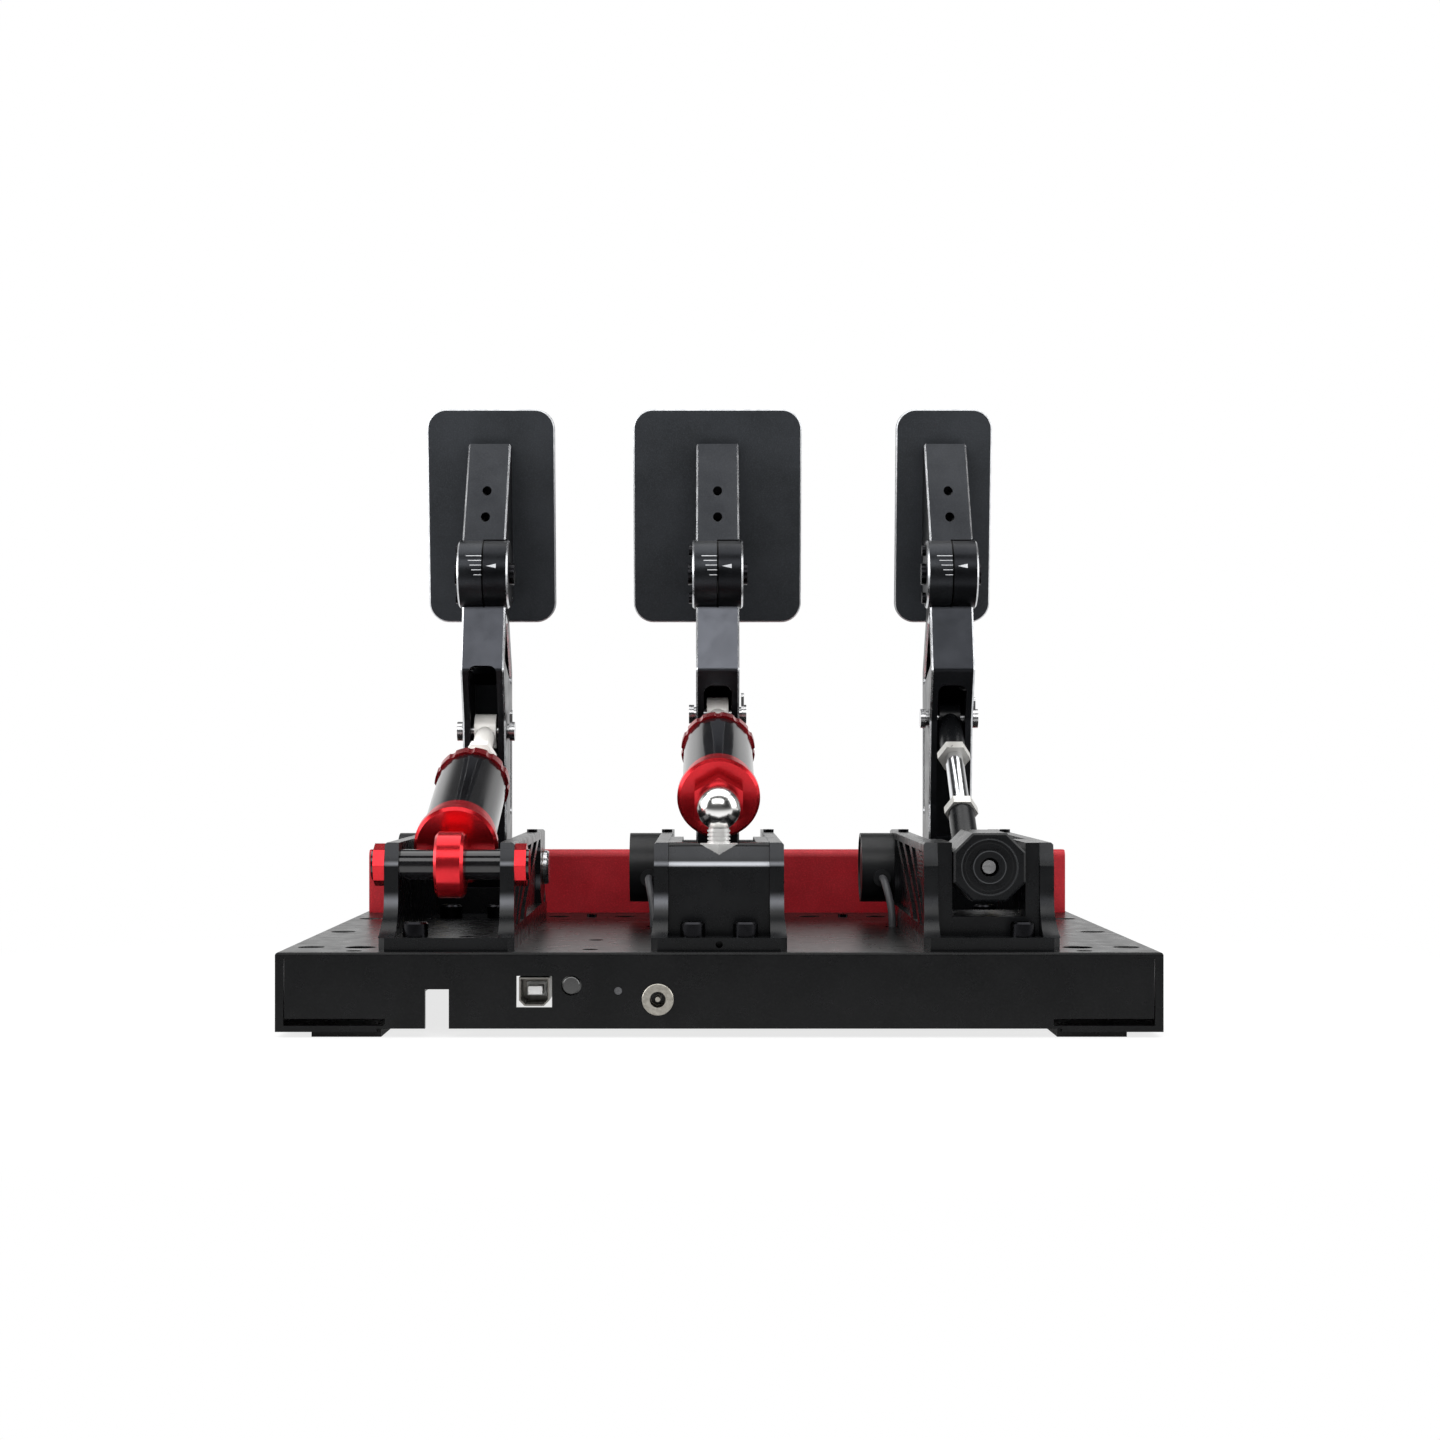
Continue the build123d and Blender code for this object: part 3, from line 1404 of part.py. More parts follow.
# Brake block, load cell and ball stud
brake_x = pedal_x[1]
brake_length = hypot(pin_setback - ball_setback, brake_pin_rise - ball_rise)
brake_tilt = atan2(brake_pin_rise - ball_rise, pin_setback - ball_setback)
ball_y = front_y + ball_setback
ball_z = base_height + ball_rise
recess_z = base_height + recess_floor_rise
block_top = base_height + plate_top
block_width = plate_gap - 2 * block_side_gap
block_back = block_front + block_length
cavity_z = base_height + block_cavity_rise


def brake_plane(along):
    return cross_plane(brake_x, ball_y, ball_z, brake_tilt, along)


with BuildPart() as brake_front_block:
    with BuildSketch(side_plane(brake_x - block_width / 2)):
        with BuildLine():
            FilletPolyline(
                place(block_front, floor_thickness),
                place(block_front, plate_slope_rise),
                place(block_front + plate_crown_setback - plate_face_setback, plate_top),
                place(block_back, plate_top),
                place(block_back, floor_thickness),
                radius=plate_crown_radius,
            )
            Line(place(block_back, floor_thickness), place(block_front, floor_thickness))
        make_face()
    extrude(amount=block_width)
    with BuildSketch(Plane.XY.offset(recess_z)):
        with Locations((brake_x, front_y + (recess_start + block_back + overrun) / 2)):
            Rectangle(recess_width, block_back + overrun - recess_start)
    extrude(amount=plate_top, mode=Mode.SUBTRACT)
    with BuildSketch(Plane.XY.offset(floor_top)):
        with Locations((brake_x, front_y + (block_front + block_wall + block_back + overrun) / 2)):
            Rectangle(block_width - 2 * block_wall, block_back + overrun - block_front - block_wall)
    extrude(amount=cavity_z - floor_top, mode=Mode.SUBTRACT)
    # Notch in the front rim, through which the stud's nut shows
    with BuildSketch(Plane.XZ.offset(-(front_y + block_front - overrun))):
        with BuildLine():
            Polyline(
                (brake_x - block_notch_width / 2, block_top),
                (brake_x, block_top - block_notch_drop),
                (brake_x + block_notch_width / 2, block_top),
                (brake_x, block_top + block_notch_drop),
                close=True,
            )
        make_face()
    extrude(amount=-(recess_start - block_front + 2 * overrun), mode=Mode.SUBTRACT)
    with Locations((brake_x, ball_y, recess_z)):
        Hole(stud_shank_radius + fit, depth=recess_floor_rise)
save(brake_front_block.part, "brake_front_block")

with BuildPart() as brake_load_cell:
    cell_top = cavity_z
    with BuildSketch(Plane.XY.offset(cell_top - cell_height)):
        with Locations((brake_x, ball_y + cell_length / 2 - cell_boss_radius)):
            Rectangle(cell_width, cell_length)
    extrude(amount=cell_height)
    with BuildSketch(side_plane(brake_x - cell_width)):
        with Locations((ball_y + cell_length / 2 - cell_boss_radius, cell_top - cell_height / 2)):
            SlotOverall(cell_hole_length, 2 * cell_hole_radius)
    extrude(amount=2 * cell_width, mode=Mode.SUBTRACT)
    with Locations((brake_x, ball_y, cell_top)):
        Hole(stud_shank_radius + fit, depth=cell_height)
save(brake_load_cell.part, "brake_load_cell")

stud_nut_top = recess_z + stud_nut_height
groove_count = int((ball_z - ball_radius * cos(radians(30)) - stud_nut_top) / stud_groove_pitch)
with BuildPart() as brake_ball_stud:
    with Locations((brake_x, ball_y, ball_z)):
        Sphere(ball_radius)
    with BuildSketch(Plane.XY.offset(recess_z)):
        with Locations((brake_x, ball_y)):
            Circle(stud_radius - stud_groove)
    extrude(amount=ball_z - recess_z)
    for step in range(groove_count):
        with BuildSketch(Plane.XY.offset(stud_nut_top + step * stud_groove_pitch)):
            with Locations((brake_x, ball_y)):
                Circle(stud_radius)
        extrude(amount=stud_groove_pitch / 2)
    with BuildSketch(Plane.XY.offset(cavity_z - cell_height)):
        with Locations((brake_x, ball_y)):
            Circle(stud_shank_radius)
    extrude(amount=recess_z - cavity_z + cell_height)
    # The lock nut stays a solid of its own
    with BuildSketch(Plane.XY.offset(recess_z)):
        with Locations((brake_x, ball_y)):
            RegularPolygon(stud_nut_width / 2, 6, major_radius=False, rotation=30)
            Circle(stud_radius - stud_groove + fit, mode=Mode.SUBTRACT)
    extrude(amount=stud_nut_height)
save(brake_ball_stud.part, "brake_ball_stud")

# Brake damper
brake_cap_body = cap_body(brake_plane, brake_cap_start, brake_tube_start)
with BuildPart() as brake_damper_cap:
    with BuildSketch(brake_plane(boss_start)):
        RegularPolygon(boss_flats / 2, 6, major_radius=False, rotation=30)
    extrude(amount=brake_cap_start + cap_bevel - boss_start)
    add(brake_cap_body)
    with Locations((brake_x, ball_y, ball_z)):
        Sphere(ball_radius + slide_fit, mode=Mode.SUBTRACT)
save(brake_damper_cap.part, "brake_damper_cap")
save(damper_tube(brake_plane, brake_tube_start, brake_tube_end), "brake_damper_tube")
save(damper_ring(brake_plane, brake_tube_end), "brake_damper_ring")

brake_piston_place = brake_tube_end - spigot_length - piston_length - gap
brake_rod = damper_rod(
    brake_plane, brake_x, brake_pin_rise, brake_length, brake_piston_place, brake_rod_gap
)
save(brake_rod, "brake_damper_rod")

# Clutch frame: a window between two posts, with a channel behind it that guides the housing
clutch_x = pedal_x[2]
frame_y = front_y + frame_start
frame_width = plate_gap - 2 * frame_side_gap
with BuildPart() as clutch_frame:
    with BuildSketch(Plane.XZ.offset(-frame_y)):
        with Locations((clutch_x, (floor_top + block_top) / 2)):
            Rectangle(frame_width, block_top - floor_top)
        with Locations((clutch_x, base_height + frame_sill_rise + plate_top / 2)):
            Rectangle(frame_inner, plate_top, mode=Mode.SUBTRACT)
    extrude(amount=-frame_length)
save(clutch_frame.part, "clutch_frame")

# Clutch spring housing: an eight-sided tube with a raised round face
housing_y = front_y + housing_start
with BuildPart() as clutch_spring_housing:
    with BuildSketch(Plane.XZ.offset(-housing_y)):
        with Locations((clutch_x, guide_z)):
            Rectangle(housing_width, housing_height)
        chamfer(vertices(), housing_corner)
    extrude(amount=-housing_length)
    chamfer(clutch_spring_housing.faces().sort_by(Axis.Y)[0].edges(), plate_bevel)
    with BuildSketch(Plane.XZ.offset(-(housing_y + housing_length - housing_wall))):
        with Locations((clutch_x, guide_z)):
            Circle(housing_bore_radius)
    extrude(amount=housing_length - 2 * housing_wall, mode=Mode.SUBTRACT)
    with BuildSketch(Plane.XZ.offset(-housing_y)):
        with Locations((clutch_x, guide_z)):
            Circle(face_radius)
            RegularPolygon(face_nut_flats / 2, 6, major_radius=False, mode=Mode.SUBTRACT)
    extrude(amount=-face_recess, mode=Mode.SUBTRACT)
    with BuildSketch(Plane.XZ.offset(-housing_y)):
        with Locations((clutch_x, guide_z)):
            Circle(guide_hole_radius)
    extrude(amount=-2 * housing_wall, mode=Mode.SUBTRACT)
    with BuildSketch(Plane.XZ.offset(-(housing_y + housing_length - 2 * housing_wall))):
        with Locations((clutch_x, guide_z)):
            Circle(shaft_radius + slide_fit)
    extrude(amount=-(2 * housing_wall + overrun), mode=Mode.SUBTRACT)
save(clutch_spring_housing.part, "clutch_spring_housing")

# Clutch spring shaft: guide rod, plunger inside the housing, and the fork that takes the link
slider_y = front_y + slider_setback
plunger_y = housing_y + housing_length - housing_wall - gap
with BuildPart() as clutch_spring_shaft:
    with BuildSketch(Plane.XZ.offset(-(front_y + shaft_front))):
        with Locations((clutch_x, guide_z)):
            Circle(shaft_radius)
    extrude(amount=-(slider_y - slider_radius - slider_back / 2 - front_y - shaft_front))
    with BuildSketch(Plane.XZ.offset(-plunger_y)):
        with Locations((clutch_x, guide_z)):
            Circle(plunger_radius)
    extrude(amount=plunger_length)
    with BuildSketch(side_plane(clutch_x - slider_width / 2)):
        with BuildLine():
            FilletPolyline(
                (slider_y - slider_radius - slider_back, guide_z - slider_radius),
                (slider_y - slider_radius - slider_back, guide_z + slider_radius),
                (slider_y + slider_radius, guide_z + slider_radius),
                (slider_y + slider_radius, guide_z - slider_radius),
                radius=slider_radius / 2,
                close=True,
            )
        make_face()
    extrude(amount=slider_width)
    with BuildSketch(side_plane(clutch_x - slider_width / 2 + slider_cheek)):
        with Locations((slider_y + slider_radius, guide_z)):
            Rectangle(slider_slot_length, slider_slot_length)
    extrude(amount=slider_width - 2 * slider_cheek, mode=Mode.SUBTRACT)
    with BuildSketch(side_plane(clutch_x - slider_width)):
        with Locations((slider_y, guide_z)):
            Circle(slider_pin_radius + fit)
    extrude(amount=2 * slider_width, mode=Mode.SUBTRACT)
save(clutch_spring_shaft.part, "clutch_spring_shaft")

with BuildPart() as clutch_slider_pin:
    with BuildSketch(side_plane(clutch_x - slider_width / 2)):
        with Locations((slider_y, guide_z)):
            Circle(slider_pin_radius)
    extrude(amount=slider_width)
    for side in (-1, 1):
        with BuildSketch(side_plane(clutch_x + side * slider_width / 2)):
            with Locations((slider_y, guide_z)):
                Circle(slider_pin_head_radius)
        extrude(amount=side * slider_pin_head)
save(clutch_slider_pin.part, "clutch_slider_pin")

# Clutch link: two rod ends on a chrome turnbuckle rod, locked by two nuts
clutch_pin_y = pin_y
clutch_pin_z = base_height + clutch_pin_rise
link_length = hypot(slider_y - clutch_pin_y, guide_z - clutch_pin_z)
link_tilt = atan2(guide_z - clutch_pin_z, slider_y - clutch_pin_y)


def link_plane(along):
    return cross_plane(clutch_x, clutch_pin_y, clutch_pin_z, link_tilt, along)


def link_end(y, z, start, length, bore):
    """An eye round a pin, and the threaded shank that meets the rod."""
    with BuildPart() as end:
        with BuildSketch(link_plane(start)):
            Circle(link_end_radius)
            Circle(link_rod_radius + fit, mode=Mode.SUBTRACT)
        extrude(amount=length)
        with BuildSketch(side_plane(clutch_x - link_eye_width / 2)):
            with Locations((y, z)):
                Circle(link_eye_radius)
        extrude(amount=link_eye_width)
        with BuildSketch(side_plane(clutch_x - link_eye_width)):
            with Locations((y, z)):
                Circle(bore)
        extrude(amount=2 * link_eye_width, mode=Mode.SUBTRACT)
    return end.part


upper_shank = link_upper_end_length - link_eye_radius / 2
upper_end = link_end(clutch_pin_y, clutch_pin_z, link_eye_radius / 2, upper_shank, pin_radius + fit)
lower_start = link_length - link_lower_end_length
lower_shank = link_lower_end_length - link_eye_radius / 2
lower_end = link_end(slider_y, guide_z, lower_start, lower_shank, slider_pin_radius + slider_pin_gap)
with BuildPart() as clutch_link_ends:
    add(upper_end)
    add(lower_end)
save(clutch_link_ends.part, "clutch_link_ends")

with BuildPart() as clutch_link_rod:
    rod_low = link_eye_radius + 2 * gap
    with BuildSketch(link_plane(rod_low)):
        Circle(link_rod_radius)
    extrude(amount=link_length - 2 * rod_low)
save(clutch_link_rod.part, "clutch_link_rod")

with BuildPart() as clutch_link_nuts:
    for nut_place in (link_upper_end_length, link_length - link_lower_end_length - link_nut_length):
        with BuildSketch(link_plane(nut_place)):
            RegularPolygon(link_nut_width / 2, 6, major_radius=False)
            Circle(link_rod_radius + fit, mode=Mode.SUBTRACT)
        extrude(amount=link_nut_length)
save(clutch_link_nuts.part, "clutch_link_nuts")
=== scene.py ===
import json
import math

import bmesh
import bpy
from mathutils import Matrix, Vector


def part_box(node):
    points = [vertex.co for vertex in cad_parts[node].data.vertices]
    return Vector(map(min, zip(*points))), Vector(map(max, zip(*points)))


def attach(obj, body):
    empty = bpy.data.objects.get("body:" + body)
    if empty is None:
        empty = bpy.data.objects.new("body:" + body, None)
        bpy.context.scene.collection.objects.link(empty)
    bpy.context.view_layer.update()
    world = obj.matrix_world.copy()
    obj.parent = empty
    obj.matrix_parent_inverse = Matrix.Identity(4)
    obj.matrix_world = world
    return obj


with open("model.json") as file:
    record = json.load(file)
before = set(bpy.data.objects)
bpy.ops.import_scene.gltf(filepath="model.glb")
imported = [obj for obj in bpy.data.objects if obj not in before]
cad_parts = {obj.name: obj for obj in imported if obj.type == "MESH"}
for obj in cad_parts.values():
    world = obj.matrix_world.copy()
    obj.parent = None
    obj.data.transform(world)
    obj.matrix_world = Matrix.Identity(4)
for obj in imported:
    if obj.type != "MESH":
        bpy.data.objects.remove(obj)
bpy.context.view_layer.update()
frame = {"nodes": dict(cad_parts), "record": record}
nodes = frame["nodes"]
scene = bpy.context.scene

# Lengths are in metres; -y is the side of the photo, +y the driver's side
pedal_spacing = 0.1083
pedal_places = {"throttle": -pedal_spacing, "brake": 0.0, "clutch": pedal_spacing}
knuckle_y = 0.042
knuckle_z = 0.1955
knuckle_radius = 0.016
across = (1.0, 0.0, 0.0)
away_from_driver = (0.0, -1.0, 0.0)
front_turn = (0.88, 0.92)  # a face that looks away from the driver reaches this share
white = (1.0, 1.0, 1.0, 1.0)


# Node helpers
def feed(tree, node, inputs):
    """Fill a node's inputs; each gets a value or another node's output."""
    for key, value in inputs.items():
        if isinstance(value, bpy.types.NodeSocket):
            tree.links.new(value, node.inputs[key])
        else:
            node.inputs[key].default_value = value


def add(tree, kind, settings=None, inputs=None):
    """A new node with its settings and inputs."""
    made = tree.nodes.new(kind)
    for key, value in (settings or {}).items():
        setattr(made, key, value)
    feed(tree, made, inputs or {})
    return made


def begin(name):
    """A new material, its node tree and its shader."""
    material = bpy.data.materials.new(name)
    material.use_nodes = True
    tree = material.node_tree
    return material, tree, tree.nodes["Principled BSDF"]


def place_of(tree):
    """The shaded point's place in the piece's own frame."""
    return add(tree, "ShaderNodeTexCoord").outputs["Object"]


def coordinate(tree, axis):
    """One coordinate of the shaded point's place."""
    return add(tree, "ShaderNodeSeparateXYZ", inputs={0: place_of(tree)}).outputs[axis]


def noise(tree, scale, detail=3.0, roughness=0.55, where=None):
    inputs = {"Vector": where or place_of(tree), "Scale": scale, "Detail": detail,
              "Roughness": roughness}
    return add(tree, "ShaderNodeTexNoise", inputs=inputs).outputs["Fac"]


def spread(tree, value, low, high, start=0.35, end=0.65, shape="LINEAR"):
    """From low to high while the value goes from start to end."""
    inputs = {"Value": value, "From Min": start, "From Max": end, "To Min": low, "To Max": high}
    made = add(tree, "ShaderNodeMapRange", {"interpolation_type": shape}, inputs)
    return made.outputs["Result"]


def smooth(tree, value, start, end, low=0.0, high=1.0):
    """The same with eased ends."""
    return spread(tree, value, low, high, start, end, "SMOOTHSTEP")


def blend(tree, share, first, second):
    """A colour between two; each is a colour or an output."""
    made = add(tree, "ShaderNodeMix", {"data_type": "RGBA"})
    first, second = (value if isinstance(value, bpy.types.NodeSocket) else (*value, 1.0)
                     for value in (first, second))
    feed(tree, made, {0: share, 6: first, 7: second})
    return made.outputs[2]


def math_of(tree, operation, first, second=0.0, clamp=False):
    made = add(tree, "ShaderNodeMath", {"operation": operation, "use_clamp": clamp})
    feed(tree, made, {0: first, 1: second})
    return made.outputs[0]


def vector_math(tree, operation, *values):
    """A vector node; its result is the output Vector, or Value for a length or a dot product."""
    made = add(tree, "ShaderNodeVectorMath", {"operation": operation})
    feed(tree, made, dict(enumerate(values)))
    return made


def bump(tree, height, strength, depth):
    inputs = {"Height": height, "Strength": strength, "Distance": depth}
    return add(tree, "ShaderNodeBump", inputs=inputs).outputs["Normal"]


def band(tree, value, low, high, soft=0.04):
    """One where the value lies between two limits, with soft ends."""
    rise = smooth(tree, value, low - soft, low + soft)
    fall = smooth(tree, value, high - soft, high + soft)
    return math_of(tree, "SUBTRACT", rise, fall, clamp=True)


def facing(tree, direction):
    """How far a surface faces a direction in the piece's own frame, from -1 to 1."""
    normal = add(tree, "ShaderNodeTexCoord").outputs["Normal"]
    return vector_math(tree, "DOT_PRODUCT", normal, direction).outputs["Value"]


def front_face(tree, low, high, soft):
    """One on the faces that look away from the driver, between two heights."""
    upright = smooth(tree, facing(tree, away_from_driver), *front_turn)
    heights = band(tree, coordinate(tree, "Z"), low, high, soft)
    return math_of(tree, "MULTIPLY", upright, heights)


def middle_of(name):
    """The middle of a piece's box."""
    return tuple((low + high) / 2 for low, high in zip(*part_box(name)))


def radius_from(tree, centre):
    """Distance from a line along y through a point."""
    away = vector_math(tree, "SUBTRACT", place_of(tree), centre).outputs["Vector"]
    flat = vector_math(tree, "MULTIPLY", away, (1.0, 0.0, 1.0)).outputs["Vector"]
    return vector_math(tree, "LENGTH", flat).outputs["Value"]


def lay_over(material, share, tint):
    """Blend a tint over the material's colour where the share is one."""
    tree = material.node_tree
    shader = tree.nodes["Principled BSDF"]
    colour = shader.inputs["Base Color"].links[0].from_socket
    feed(tree, shader, {"Base Color": blend(tree, share, colour, tint)})


# Kinds of material
bare_metal = (0.62, 0.63, 0.65)
chamfer_turn = (0.30, 0.93)  # how far a chamfer faces sideways, as against a flat face or a side
speck_gain = 2.2
speck_lift = 0.002


def coat_finish(name, dark, light, rough, grain_scale, grain_depth, metallic=0.0, specular=0.5,
                coat=0.0, coat_rough=0.2, bare_along=None, sheens=()):
    """A coated metal: mottled colour, fine grain, and bare edges where the chamfers are.

    A sheen is a painted highlight: a low and a high limit, their softness, and the lighter tint
    painted on the front faces between them.
    """
    material, tree, shader = begin(name)
    cloud = noise(tree, scale=38.0, detail=4.0)
    grain = noise(tree, grain_scale, detail=2.0, roughness=0.6)
    colour = blend(tree, spread(tree, cloud, 0.0, 1.0), dark, light)
    speck = tuple(min(1.0, value * speck_gain + speck_lift) for value in light)
    colour = blend(tree, spread(tree, grain, 0.0, 0.30, start=0.45, end=0.75), colour, speck)
    # Painted highlights: lighter tints on the front faces between each sheen's heights
    for low, high, soft, tint in sheens:
        colour = blend(tree, front_face(tree, low, high, soft), colour, tint)
    smudge = noise(tree, scale=120.0)
    roughness = spread(tree, smudge, rough * 0.88, rough * 1.14)
    normal = bump(tree, grain, 0.6, grain_depth)
    feed(tree, shader, {"Coat Weight": coat, "Coat Roughness": coat_rough,
                        "Specular IOR Level": specular, "Metallic": metallic})
    if bare_along:
        turned = math_of(tree, "ABSOLUTE", facing(tree, bare_along))
        edge = band(tree, turned, *chamfer_turn)
        wear = spread(tree, noise(tree, scale=260.0), 0.72, 1.0)
        worn = math_of(tree, "MULTIPLY", edge, wear)
        colour = blend(tree, worn, colour, bare_metal)
        feed(tree, shader, {"Metallic": math_of(tree, "MAXIMUM", worn, metallic)})
        smoother = math_of(tree, "MULTIPLY", worn, 0.10)
        roughness = math_of(tree, "SUBTRACT", roughness, smoother)
    feed(tree, shader, {"Base Color": colour, "Roughness": roughness, "Normal": normal})
    return material


def metal_finish(name, dark, light, rough, streak=(1.0, 1.0, 1.0), streak_scale=300.0,
                 depth=0.00001, metallic=1.0):
    """A bare or plated metal with fine machining streaks and faint smudges."""
    material, tree, shader = begin(name)
    stretched = vector_math(tree, "MULTIPLY", place_of(tree), streak).outputs["Vector"]
    lines = noise(tree, streak_scale, roughness=0.6, where=stretched)
    smudge = noise(tree, scale=60.0, detail=4.0)
    roughness = math_of(tree, "ADD", spread(tree, lines, rough * 0.75, rough * 1.2),
                        spread(tree, smudge, 0.0, rough * 0.35))
    feed(tree, shader, {"Metallic": metallic, "Roughness": roughness,
                        "Base Color": blend(tree, spread(tree, smudge, 0.0, 1.0), dark, light),
                        "Normal": bump(tree, lines, 0.35, depth)})
    return material


def plastic_finish(name, dark, light, rough, grain_scale, grain_depth, specular=0.5, coat=0.0):
    """A moulded plastic, rubber or lacquer with a fine grain."""
    material, tree, shader = begin(name)
    grain = noise(tree, grain_scale, roughness=0.6)
    cloud = noise(tree, scale=90.0, detail=4.0)
    feed(tree, shader, {"Specular IOR Level": specular, "Coat Weight": coat,
                        "Base Color": blend(tree, spread(tree, cloud, 0.0, 1.0), dark, light),
                        "Roughness": spread(tree, grain, rough * 0.85, rough * 1.15),
                        "Normal": bump(tree, grain, 0.5, grain_depth)})
    return material


def bare_edged_finish(name, dark, light, sheens=()):
    """Black anodising with bare edges, on the arms and the pads' brackets."""
    return coat_finish(name, dark, light, rough=0.32, grain_scale=2400.0, grain_depth=0.00002,
                       metallic=0.90, specular=0.40, bare_along=across, sheens=sheens)


# Heights and softness of the painted highlight on the arms' leaning face
arm_highlight_heights = (0.1505, 0.1805, 0.0008)


def arm_finish(name, tint):
    """Bare-edged black, with a painted highlight on the leaning face between the bend and the
    knuckle.
    """
    return bare_edged_finish(name, dark=(0.012, 0.013, 0.015), light=(0.019, 0.020, 0.023),
                             sheens=((*arm_highlight_heights, tint),))


def plate_finish(name, sheens=()):
    """The near-black anodising of the plates, the blocks and the housing."""
    return coat_finish(name, dark=(0.0030, 0.0033, 0.0038), light=(0.0048, 0.0052, 0.0060),
                       rough=0.28, grain_scale=2600.0, grain_depth=0.00002, specular=0.26,
                       sheens=sheens)


def gloss_finish(name, rough, specular, coat, coat_rough):
    """Gloss black lacquer."""
    return coat_finish(name, dark=(0.004, 0.004, 0.0045), light=(0.007, 0.007, 0.008),
                       rough=rough, grain_scale=900.0, grain_depth=0.000004,
                       specular=specular, coat=coat, coat_rough=coat_rough)


# The looks of the record's slots
pad_run = 0.013  # the pads' plates lean back by this over the rise
pad_rise = 0.101
pad_lean = math.atan2(pad_run, pad_rise)
pad_normal = (0.0, math.cos(pad_lean), math.sin(pad_lean))

looks = {
    "powder_black": coat_finish(
        "tray_powder_black", dark=(0.0026, 0.0028, 0.0031), light=(0.0044, 0.0046, 0.0050),
        rough=0.30, grain_scale=1500.0, grain_depth=0.00006, specular=0.18),
    "powder_red": coat_finish(
        "bar_powder_red", dark=(0.30, 0.006, 0.012), light=(0.39, 0.010, 0.018),
        rough=0.45, grain_scale=1300.0, grain_depth=0.00007, specular=0.30),
    "anodised_black": plate_finish("plate_anodised_black"),
    # The throttle arm's tint is the painted highlight on its leaning face
    "arm_black": arm_finish("arm_anodised_black", tint=(0.057, 0.060, 0.069)),
    "pad_black": coat_finish(
        "pad_textured_black", dark=(0.014, 0.0165, 0.020), light=(0.021, 0.024, 0.029),
        rough=0.55, grain_scale=1700.0, grain_depth=0.00007, specular=0.30,
        bare_along=pad_normal),
    "gloss_black": gloss_finish(
        "tube_gloss_black", rough=0.12, specular=0.32, coat=0.1, coat_rough=0.05),
    "anodised_red": coat_finish(
        "cap_anodised_red", dark=(0.50, 0.011, 0.017), light=(0.62, 0.017, 0.025),
        rough=0.24, grain_scale=2200.0, grain_depth=0.000008, metallic=0.85, coat=0.15,
        coat_rough=0.08),
    "nickel": metal_finish(
        "nickel_plate", dark=(0.88, 0.86, 0.82), light=(0.96, 0.94, 0.91), rough=0.40,
        streak=(1.0, 1.0, 6.0), metallic=0.2),
    "chrome": metal_finish(
        "chrome_plate", dark=(0.80, 0.81, 0.83), light=(0.90, 0.91, 0.93), rough=0.13,
        streak=(1.0, 4.0, 4.0)),
    "polished_steel": metal_finish(
        "polished_steel", dark=(0.60, 0.60, 0.61), light=(0.74, 0.74, 0.75), rough=0.20,
        streak=(0.2, 1.0, 1.0), streak_scale=700.0),
    "black_steel": metal_finish(
        "black_oxide_steel", dark=(0.014, 0.014, 0.016), light=(0.026, 0.026, 0.029),
        rough=0.24, streak_scale=500.0, depth=0.00002),
    "rubber_black": plastic_finish(
        "foot_rubber", dark=(0.008, 0.008, 0.008), light=(0.014, 0.014, 0.014), rough=0.75,
        grain_scale=1400.0, grain_depth=0.00008, specular=0.20),
    "lead_grey": plastic_finish(
        "lead_jacket", dark=(0.055, 0.055, 0.06), light=(0.09, 0.09, 0.095), rough=0.45,
        grain_scale=1500.0, grain_depth=0.00003),
    "plastic_black": plastic_finish(
        "housing_plastic", dark=(0.008, 0.0085, 0.0095), light=(0.013, 0.014, 0.0155),
        rough=0.40, grain_scale=1900.0, grain_depth=0.00004, specular=0.40),
    "white_plastic": plastic_finish(
        "tongue_plastic", dark=(0.90, 0.90, 0.89), light=(0.96, 0.96, 0.95), rough=0.42,
        grain_scale=1900.0, grain_depth=0.00002),
    "board_green": plastic_finish(
        "board_mask", dark=(0.010, 0.10, 0.035), light=(0.018, 0.15, 0.055), rough=0.30,
        grain_scale=2500.0, grain_depth=0.00003, coat=0.4),
    "led_lens": plastic_finish(
        "led_lens", dark=(0.030, 0.031, 0.034), light=(0.055, 0.056, 0.060), rough=0.16,
        grain_scale=2500.0, grain_depth=0.00001, specular=0.4, coat=0.4),
    "brass": metal_finish(
        "bearing_brass", dark=(0.55, 0.38, 0.16), light=(0.68, 0.49, 0.22), rough=0.28,
        streak=(0.3, 1.0, 1.0), streak_scale=600.0),
    "aluminium_plain": metal_finish(
        "cell_aluminium", dark=(0.52, 0.53, 0.55), light=(0.64, 0.65, 0.67), rough=0.34,
        streak=(1.0, 0.15, 1.0), streak_scale=900.0),
}
bracket_black = bare_edged_finish("bracket_anodised_black", dark=(0.024, 0.0255, 0.029),
                                  light=(0.034, 0.036, 0.040))


def dress(names, material):
    """Give pieces one material in place of the one they have."""
    for name in names:
        nodes[name].data.materials.clear()
        nodes[name].data.materials.append(material)


for entry in frame["record"]["subparts"]:
    dress([entry["node"]], looks[entry["material_slot"]])


# Marks on each knuckle: five light lines on its left half and a pointer on its right half
mark_proud = 0.00002
mark_depth = 0.0004
mark_half = 0.00016
mark_heights = (0.0075, 0.0053, 0.0031, 0.0009, -0.0014)
mark_lengths = (0.0071, 0.0061, 0.0052, 0.0044, 0.0034)
mark_end = 0.0004  # from the knuckle's middle to the lines' right ends
pointer_start = 0.0019  # from the knuckle's middle to the pointer's tip
pointer_length = 0.0045
pointer_sides = 0.00445  # the sloping sides stop short of the full length
pointer_height = 0.0027
pointer_half = 0.0010


def on_knuckle(x, height, away):
    """A point on the knuckle's side away from the driver, some way off its surface."""
    angle = math.asin(height / knuckle_radius)
    radius = knuckle_radius + away
    return (x, knuckle_y - radius * math.cos(angle), knuckle_z + radius * math.sin(angle))


